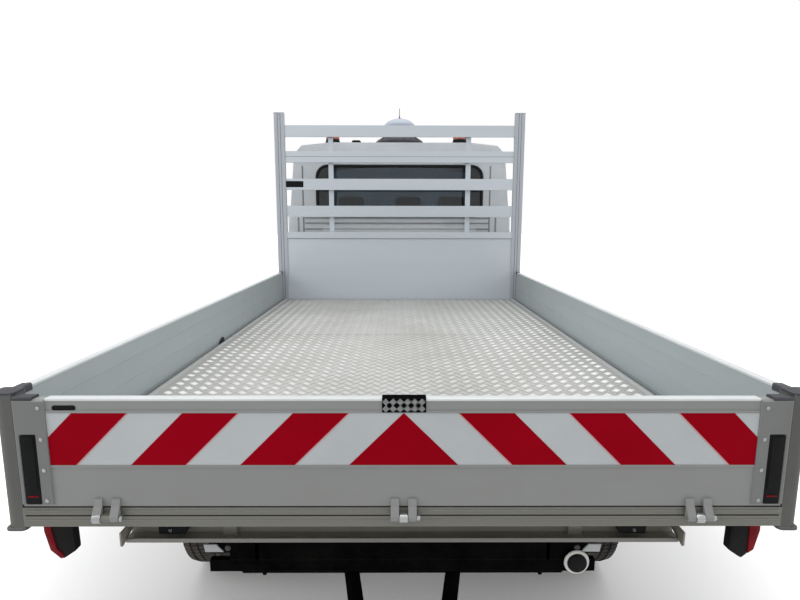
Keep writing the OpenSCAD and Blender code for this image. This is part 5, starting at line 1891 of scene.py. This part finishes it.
@dataclass
class Underside:
    """Lamps, hitch socket, springs and pipes under the load bed and cab.

    Attributes:
        bar_y: Rear face of the light bar.
        bar_z: Its underside.
        bar_half: Half its length.
        arm_y: Rear face of the marker lamps' arms.
        hitch_y: Rear face of the frame's end plate.
    """

    bar_y: float = PLAN.tail_y + 145.0
    bar_z: float = 700.0
    bar_half: float = 823.0
    arm_y: float = PLAN.tail_y + 85.0
    hitch_y: float = PLAN.tail_y + 185.0

    def build(self) -> None:
        """Builds the pieces under the truck."""
        self._light_bar()
        self._lamps()
        self._frame_end()
        self._suspension()
        pipes = Shape()
        for x, z in ((372.0, 590.0), (366.0, 604.0)):
            run = [(x, -2400.0, z), (x, -1900.0, z), (x, 300.0, z), (x, 560.0, z - 110), (x, 1500.0, z - 118)]
            pipes.tube(run, 4.0, 6)
        piece(pipes, "brake_pipes", BARE_STEEL, "chassis")

    def _light_bar(self) -> None:
        """Builds the open channel of the light bar, in place of the CAD solid."""
        y, z, half = self.bar_y, self.bar_z, self.bar_half
        outline = [
            (y, z), (y + 50, z), (y + 50, z + 43), (y + 45, z + 43), (y + 45, z + 5), (y + 5, z + 5),
            (y + 5, z + 11), (y, z + 11),
        ]
        bar = Shape().prism(outline, Axis.X, -half, half)
        flange = [(y - 24, z + 2), (y - 18, z - 3), (y + 50, z + 20), (y + 50, z + 43), (y - 24, z + 43)]
        for s in (-1, 1):
            bar.prism(flange, Axis.X, *spread(s, half - 5, half))
            lo, hi = spread(s, 500.0, 540.0)
            bar.box((lo, y + 30, z + 4), (hi, y + 50, 843.0))
        made = piece(bar, "light_bar_channel", BAR_GREY, "chassis", 0.8)
        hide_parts("light_bar")
        lip = Shape().box((-817.0, y - 1.2, z - 1.5), (817.0, y + 2.0, z + 11.5))
        piece(lip, "light_bar_lip", BAR_LIP, "chassis", 0.8)

    def _lamps(self) -> None:
        """Builds the small lamps in the bar, and the marker lamps on their rubber arms."""
        y, z = self.bar_y, self.bar_z
        lamps = Shape()
        arms = Shape()
        wedge = [(636.0, z + 42), (648.0, z + 17), (726.0, z + 17), (726.0, z + 42)]
        arm = [
            (936.0, 840.0), (1012.0, 840.0), (1012.0, 775.0), (999.0, 715.0), (967.0, 686.0), (929.0, 712.0),
            (931.0, 775.0),
        ]
        for s in (-1, 1):
            lamps.prism([(s * x, h) for x, h in wedge], Axis.Y, y + 12, y + 44)
            arms.prism([(s * x, h) for x, h in arm], Axis.Y, self.arm_y, self.arm_y + 30.0)
        piece(lamps, "small_lamps", PLASTIC, "chassis", 3.0)
        piece(arms, "marker_lamp_arms", RUBBER, "chassis", 6.0)
        windows = Shape()
        for s in (-1, 1):
            windows.prism(round_rect((s * 690.0 - 5, z + 25), (s * 690.0 + 5, z + 35), 3.0), Axis.Y, y + 9.5, y + 13)
        piece(windows, "small_lamp_windows", LAMP_CLEAR, "chassis", 0.5)
        lens = Shape()
        left = [(1011.0, 812.0), (1011.0, 774.0), (998.0, 716.0), (970.0, 690.0), (960.0, 698.0), (980.0, 722.0),
                (990.0, 774.0), (992.0, 812.0)]
        right = [(1011.0, 838.0), (1011.0, 774.0), (998.0, 716.0), (982.0, 704.0), (980.0, 838.0)]
        for s, band in ((-1, left), (1, right)):
            lens.prism([(s * x, h) for x, h in band], Axis.Y, self.arm_y - 3, self.arm_y + 22)
        piece(lens, "marker_lamp_lenses", LENS_RED, "chassis", 1.5)

    def _frame_end(self) -> None:
        """Builds the plate across the frame's end, with its tabs, bolts and the trailer socket."""
        hitch_y = self.hitch_y
        outline = [
            (-590.0, 638.0), (-528.0, 638.0), (-528.0, 613.9), (528.0, 613.9), (528.0, 638.0), (590.0, 638.0),
            (590.0, 670.0), (-590.0, 670.0),
        ]
        plate = Shape().prism(outline, Axis.Y, hitch_y, hitch_y + 8)
        piece(plate, "frame_end_plate", BLACK_STEEL, "chassis", 0.6)
        tabs = Shape()
        tab = [(604.0, 668.0), (600.0, 644.0), (544.0, 644.0), (566.0, 668.0)]
        for s in (-1, 1):
            tabs.prism([(s * x, h) for x, h in tab], Axis.Y, hitch_y - 6, hitch_y - 0.4)
        piece(tabs, "frame_end_tabs", EDGE_ALU, "chassis", 0.6)
        bolts = Shape()
        for x in (-532.0, 532.0):
            bolts.lathe([(9.0, 0.0), (9.0, -4.0), (6.0, -6.0), (1.0, -6.0)], (x, hitch_y, 655.0), Axis.Y, 12)
        piece(bolts, "frame_end_bolts", CAP_PLASTIC, "chassis")
        socket = (530.0, PLAN.tail_y + 214, 612.0)
        rim = Shape().lathe(
            [(27.0, -26.0), (27.0, -34.0), (37.0, -35.0), (39.0, -38.0), (37.0, -42.0), (27.0, -43.0)], socket,
            Axis.Y, 28,
        )
        piece(rim, "trailer_socket_rim", PLATE_BLANK, "chassis", 1.0)
        lid = Shape().lathe(
            [(28.0, -26.0), (30.0, -42.0), (29.0, -48.0), (22.0, -51.0), (2.0, -52.0)], socket, Axis.Y, 28,
        )
        piece(lid, "trailer_socket_lid", PLASTIC, "chassis", 1.0)

    def _suspension(self) -> None:
        """Builds spring clamps and dampers of the rear axle."""
        clamps = Shape()
        y = PLAN.rear_axle_y
        for x in (500.0, 560.0):
            for dy in (-70.0, 70.0):
                path = [(x, y + dy, 300.0), (x, y + dy, 395.0), (x, y + dy, 452.0)]
                clamps.tube(path, 7.0, 8)
        clamps.mirrored()
        piece(clamps, "spring_clamps", IRON, "chassis")
        damper = Shape().tube([(395.0, y - 60, 345.0), (405.0, y - 210, 560.0)], 26.0, 16)
        damper.tube([(405.0, y - 205, 550.0), (410.0, y - 262, 640.0)], 13.0, 12)
        damper.mirrored()
        piece(damper, "rear_dampers", BLACK_STEEL, "chassis")


@dataclass
class Interior:
    """Padded seats, dashboard parts and linings inside the cab.

    Attributes:
        seat_z: Height of the seats' tops.
        y: The cab's rear wall.
        padding: How full the seats are stuffed; not used.
    """

    seat_z: float = PLAN.cab_floor_z + 380.0
    y: float = PLAN.cab_y
    padding: float = 0.85

    def build(self) -> None:
        """Builds the pieces inside the cab."""
        self._seat("driver", -690.0, -210.0, [-0.55, 0.55])
        self._seat("bench", -130.0, 690.0, [-0.75, 0.0, 0.75])
        for i, x in enumerate((-450.0, 80.0, 480.0)):
            self._headrest(i, x)
        self._dashboard()

    def _lean(self, dy: float, dz: float, slope: float) -> Matrix:
        """Leans a cushion back and lifts it to a place behind and above the seats."""
        place = Matrix.Translation((0.0, self.y + dy, self.seat_z + dz))
        return place @ Matrix.Rotation(math.radians(slope), 4, "X")

    def _seat(self, name: str, x0: float, x1: float, seams: list[float]) -> None:
        """Builds one seat; its cushion stands in place of the CAD seats.

        Args:
            name: driver or bench.
            x0: Its left side.
            x1: Its right side.
            seams: Where its seams run, as shares of half its width.
        """
        y, z = self.y, self.seat_z
        base = Shape().cushion((x0, y + 300, z - 120), (x1, y + 850, z - 14), 26.0, seams)
        back = Shape().cushion((x0, -330.0, -65.0), (x1, 330.0, 65.0), 22.0, seams)
        lean = self._lean(275.0, 285.0, 81.0)
        back.verts = [lean @ Vector((v.x, v.y, -v.z)) for v in back.verts]
        seat = piece(base, f"seat_cushion_{name}", CLOTH, "chassis", crease=70)
        rest = piece(back, f"seat_back_{name}", CLOTH, "chassis", crease=70)
        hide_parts("seats")
        plinth = Shape().box((x0 + 30, y + 340, PLAN.cab_floor_z), (x1 - 30, y + 790, z - 112))
        piece(plinth, f"seat_plinth_{name}", TRIM_GREY, "chassis", 12.0)

    def _headrest(self, i: int, x: float) -> None:
        """Builds one headrest on its two stems.

        Args:
            i: Its number.
            x: Its middle.
        """
        y, z = self.y, self.seat_z
        head = Shape().cushion((x - 118, -90.0, -52.0), (x + 118, 90.0, 52.0), 12.0, [])
        head.moved(self._lean(222.0, 698.0, 84.0))
        made = piece(head, f"headrest_{i}", CLOTH, "chassis", crease=70)
        stems = Shape()
        for dx in (-52.0, 52.0):
            stems.tube([(x + dx, y + 238, z + 560), (x + dx, y + 226, z + 640)], 6.0, 8)
        piece(stems, f"headrest_stems_{i}", BARE_STEEL, "chassis")

    def _dashboard(self) -> None:
        """Builds the parts on the dashboard, the gear lever and the headlining."""
        y, z = PLAN.firewall_y, PLAN.deck_z
        hood = Shape().prism(
            [(y - 330, z - 112), (y - 315, z - 45), (y - 250, z - 22), (y - 190, z - 52)], Axis.X, -620.0, -290.0,
        )
        piece(hood, "instrument_hood", TRIM_GREY, "chassis", 10.0)
        vents = Shape()
        for x in (-860.0, -150.0, 30.0, 760.0):
            for k in range(5):
                vents.box((x - 45, y - 345, z - 200 + k * 14), (x + 45, y - 328, z - 194 + k * 14))
        piece(vents, "air_vents", PLASTIC, "chassis")
        lever = Shape().tube(
            [(-60.0, y - 330, z - 260), (-66.0, y - 405, z - 215), (-68.0, y - 420, z - 160)], 9.0, 10,
        )
        lever.lathe(
            [(8.0, -20.0), (24.0, -8.0), (26.0, 10.0), (18.0, 26.0), (2.0, 30.0)], (-68.0, y - 420, z - 150),
            Axis.Z, 18,
        )
        piece(lever, "gear_lever", PLASTIC, "chassis")
        lining = Shape().box((-800.0, self.y + 60, 2262.0), (800.0, PLAN.screen_head_y - 130, 2270.0))
        piece(lining, "headlining", DOME_WHITE, "chassis", 3.0)


# Finishes of the CAD nodes


NODE_FINISH: dict[str, Finish] = {
    "tailboard": TAIL_PANEL, "dropside_left": BOARD_ALU, "dropside_right": BOARD_ALU, "bed_floor": TREAD_ALU,
    "edge_rails": RAIL_ALU, "headboard_posts": HEAD_POST, "headboard_boards": HEAD_ALU, "corner_posts": POST_ALU,
    "light_bar": BAR_GREY, "tow_hitch": BLACK_STEEL, "mudguards": RUBBER, "bed_subframe": FRAME_STEEL,
    "frame_rails": FRAME_STEEL, "front_subframe": BLACK_STEEL, "rear_axle": IRON, "leaf_springs": IRON,
    "engine_block": IRON, "fuel_tank": PLASTIC, "exhaust": IRON, "cab_shell": CAB_WHITE, "cab_glass": GLASS,
    "front_wings": CAB_WHITE, "front_bumper": PLASTIC, "grille": PLASTIC, "headlamps": LAMP_CLEAR,
    "dashboard": TRIM_GREY, "door_left": CAB_WHITE, "door_right": CAB_WHITE, "door_glass_left": GLASS,
    "door_glass_right": GLASS, "bonnet": CAB_WHITE, "steering_wheel": PLASTIC, "knuckle_left": IRON,
    "knuckle_right": IRON, "front_rim_left": RIM, "front_rim_right": RIM, "rear_rim_left": RIM,
    "rear_rim_right": RIM, "seats": CLOTH, "roof_fittings": PLASTIC, "front_tyre_left": TYRE,
    "front_tyre_right": TYRE, "rear_tyre_left": TYRE, "rear_tyre_right": TYRE,
}


def paint_nodes() -> None:
    """Gives every CAD node its finish."""
    for name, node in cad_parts.items():
        finish = NODE_FINISH[name]
        node.data.materials.clear()
        node.data.materials.append(finish.material())
        LOG.info("%s: %s", name, finish.name)


# Camera and light


@dataclass
class Studio:
    """The camera at the photograph's angle, the pale floor and the soft lamps.

    Attributes:
        camera_at: The camera's place, in metres.
        pitch: How far it looks down, in degrees.
        yaw: How far it looks to the right.
        roll: How far it leans.
        lens: Its focal length in millimetres, on a sensor 36 mm wide.
        floor_tone: The floor's colour.
        painted_shadow_scale: Shrinks the floor's coordinates so that the round field of painted shadow reaches 1.
    """

    camera_at: Point = (-0.0164, -4.1457, 1.6405)
    pitch: float = 8.609
    yaw: float = 0.267
    roll: float = 0.091
    lens: float = 23.588
    floor_tone: tuple[float, float, float, float] = (0.82, 0.82, 0.82, 1.0)
    painted_shadow_scale: Point = (0.54, 0.3, 0.0)

    def build(self) -> None:
        """Builds camera, floor, lamps and world."""
        self._camera()
        self._floor()
        self._lamps()
        self._world()
        bpy.context.scene.view_settings.view_transform = "Standard"

    def _camera(self) -> None:
        """Places the camera."""
        data = bpy.data.cameras.new("camera")
        data.lens, data.sensor_width = self.lens, 36.0
        data.clip_start, data.clip_end = 0.05, 200.0
        camera = bpy.data.objects.new("camera", data)
        bpy.context.scene.collection.objects.link(camera)
        right, up, lean = (math.radians(a) for a in (-self.yaw, 90 - self.pitch, self.roll))
        turn = Matrix.Rotation(right, 4, "Z") @ Matrix.Rotation(up, 4, "X")
        camera.matrix_world = Matrix.Translation(self.camera_at) @ turn @ Matrix.Rotation(lean, 4, "Z")
        bpy.context.scene.camera = camera

    def _floor(self) -> None:
        """Lays the pale floor, which gives white light to the camera far out; round the truck this light fades,
        painting a round field of shadow under the real shadows.
        """
        mesh = bpy.data.meshes.new("studio_floor")
        e = 60.0
        mesh.from_pydata([(-e, -e, 0), (e, -e, 0), (e, e, 0), (-e, e, 0)], [], [(0, 1, 2, 3)])
        floor = bpy.data.objects.new("studio_floor", mesh)
        bpy.context.scene.collection.objects.link(floor)
        made = bpy.data.materials.new("studio_floor")
        made.use_nodes = True
        wire = Wiring(made.node_tree)
        shader = made.node_tree.nodes["Principled BSDF"]
        place = wire.node("ShaderNodeTexCoord").outputs["Object"]
        flat = wire.vector("MULTIPLY", i0=place, i1=self.painted_shadow_scale)
        away = wire.node("ShaderNodeVectorMath", operation="LENGTH", i0=flat).outputs["Value"]
        # The floor's emission to the camera is weak in a round field round the truck: painted shadow on the floor.
        rise = wire.ramp(away, 0.86, 1.6, To__Min=0.08, To__Max=0.7, interpolation_type="SMOOTHSTEP")
        camera_ray = wire.node("ShaderNodeLightPath").outputs["Is Camera Ray"]
        wire.join(
            shader, Base__Color=self.floor_tone, Roughness=0.9, Specular__IOR__Level=0.1, Emission__Color=WHITE,
            Emission__Strength=wire.math("MULTIPLY", camera_ray, rise),
        )
        mesh.materials.append(made)

    def _lamps(self) -> None:
        """Hangs the soft lamps."""
        lamps = (
            ("lamp_top", (0.0, -0.6, 7.5), (0.0, 0.0, 0.0), 9.0, 350.0),
            ("lamp_left", (-7.0, -4.0, 4.8), (62.0, 0.0, -60.0), 4.0, 160.0),
            ("lamp_right", (7.5, -3.0, 4.0), (64.0, 0.0, 66.0), 4.0, 90.0),
        )
        for name, place, turn, size, power in lamps:
            data = bpy.data.lights.new(name, "AREA")
            data.shape, data.size, data.energy = "SQUARE", size, power
            lamp = bpy.data.objects.new(name, data)
            lamp.location = place
            lamp.rotation_euler = [math.radians(a) for a in turn]
            bpy.context.scene.collection.objects.link(lamp)

    def _world(self) -> None:
        """Makes the world white to the camera and in reflections, and soft as a light."""
        world = bpy.data.worlds.new("studio_world")
        bpy.context.scene.world = world
        world.use_nodes = True
        wire = Wiring(world.node_tree)
        path = wire.node("ShaderNodeLightPath").outputs
        seen = wire.math("MAXIMUM", path["Is Camera Ray"], path["Is Transmission Ray"])
        glossy = wire.math("MULTIPLY", path["Is Glossy Ray"], 0.85)
        strength = wire.math("MAXIMUM", wire.math("MAXIMUM", seen, glossy), 0.62)
        wire.join(world.node_tree.nodes["Background"], Color=WHITE, Strength=strength)


def main() -> None:
    """Builds the whole scene in order."""
    logging.basicConfig(level=logging.INFO, format="%(name)s %(message)s")
    Studio().build()
    paint_nodes()
    tailboard = Tailboard()
    tailboard.build()
    tailboard.rail()
    for kind in (SideBoards, LoadFloor, Headboard, CabRear, Roof, CabFront, Wheels, Underside, Interior):
        kind().build()


if __name__ == "__main__":
    main()
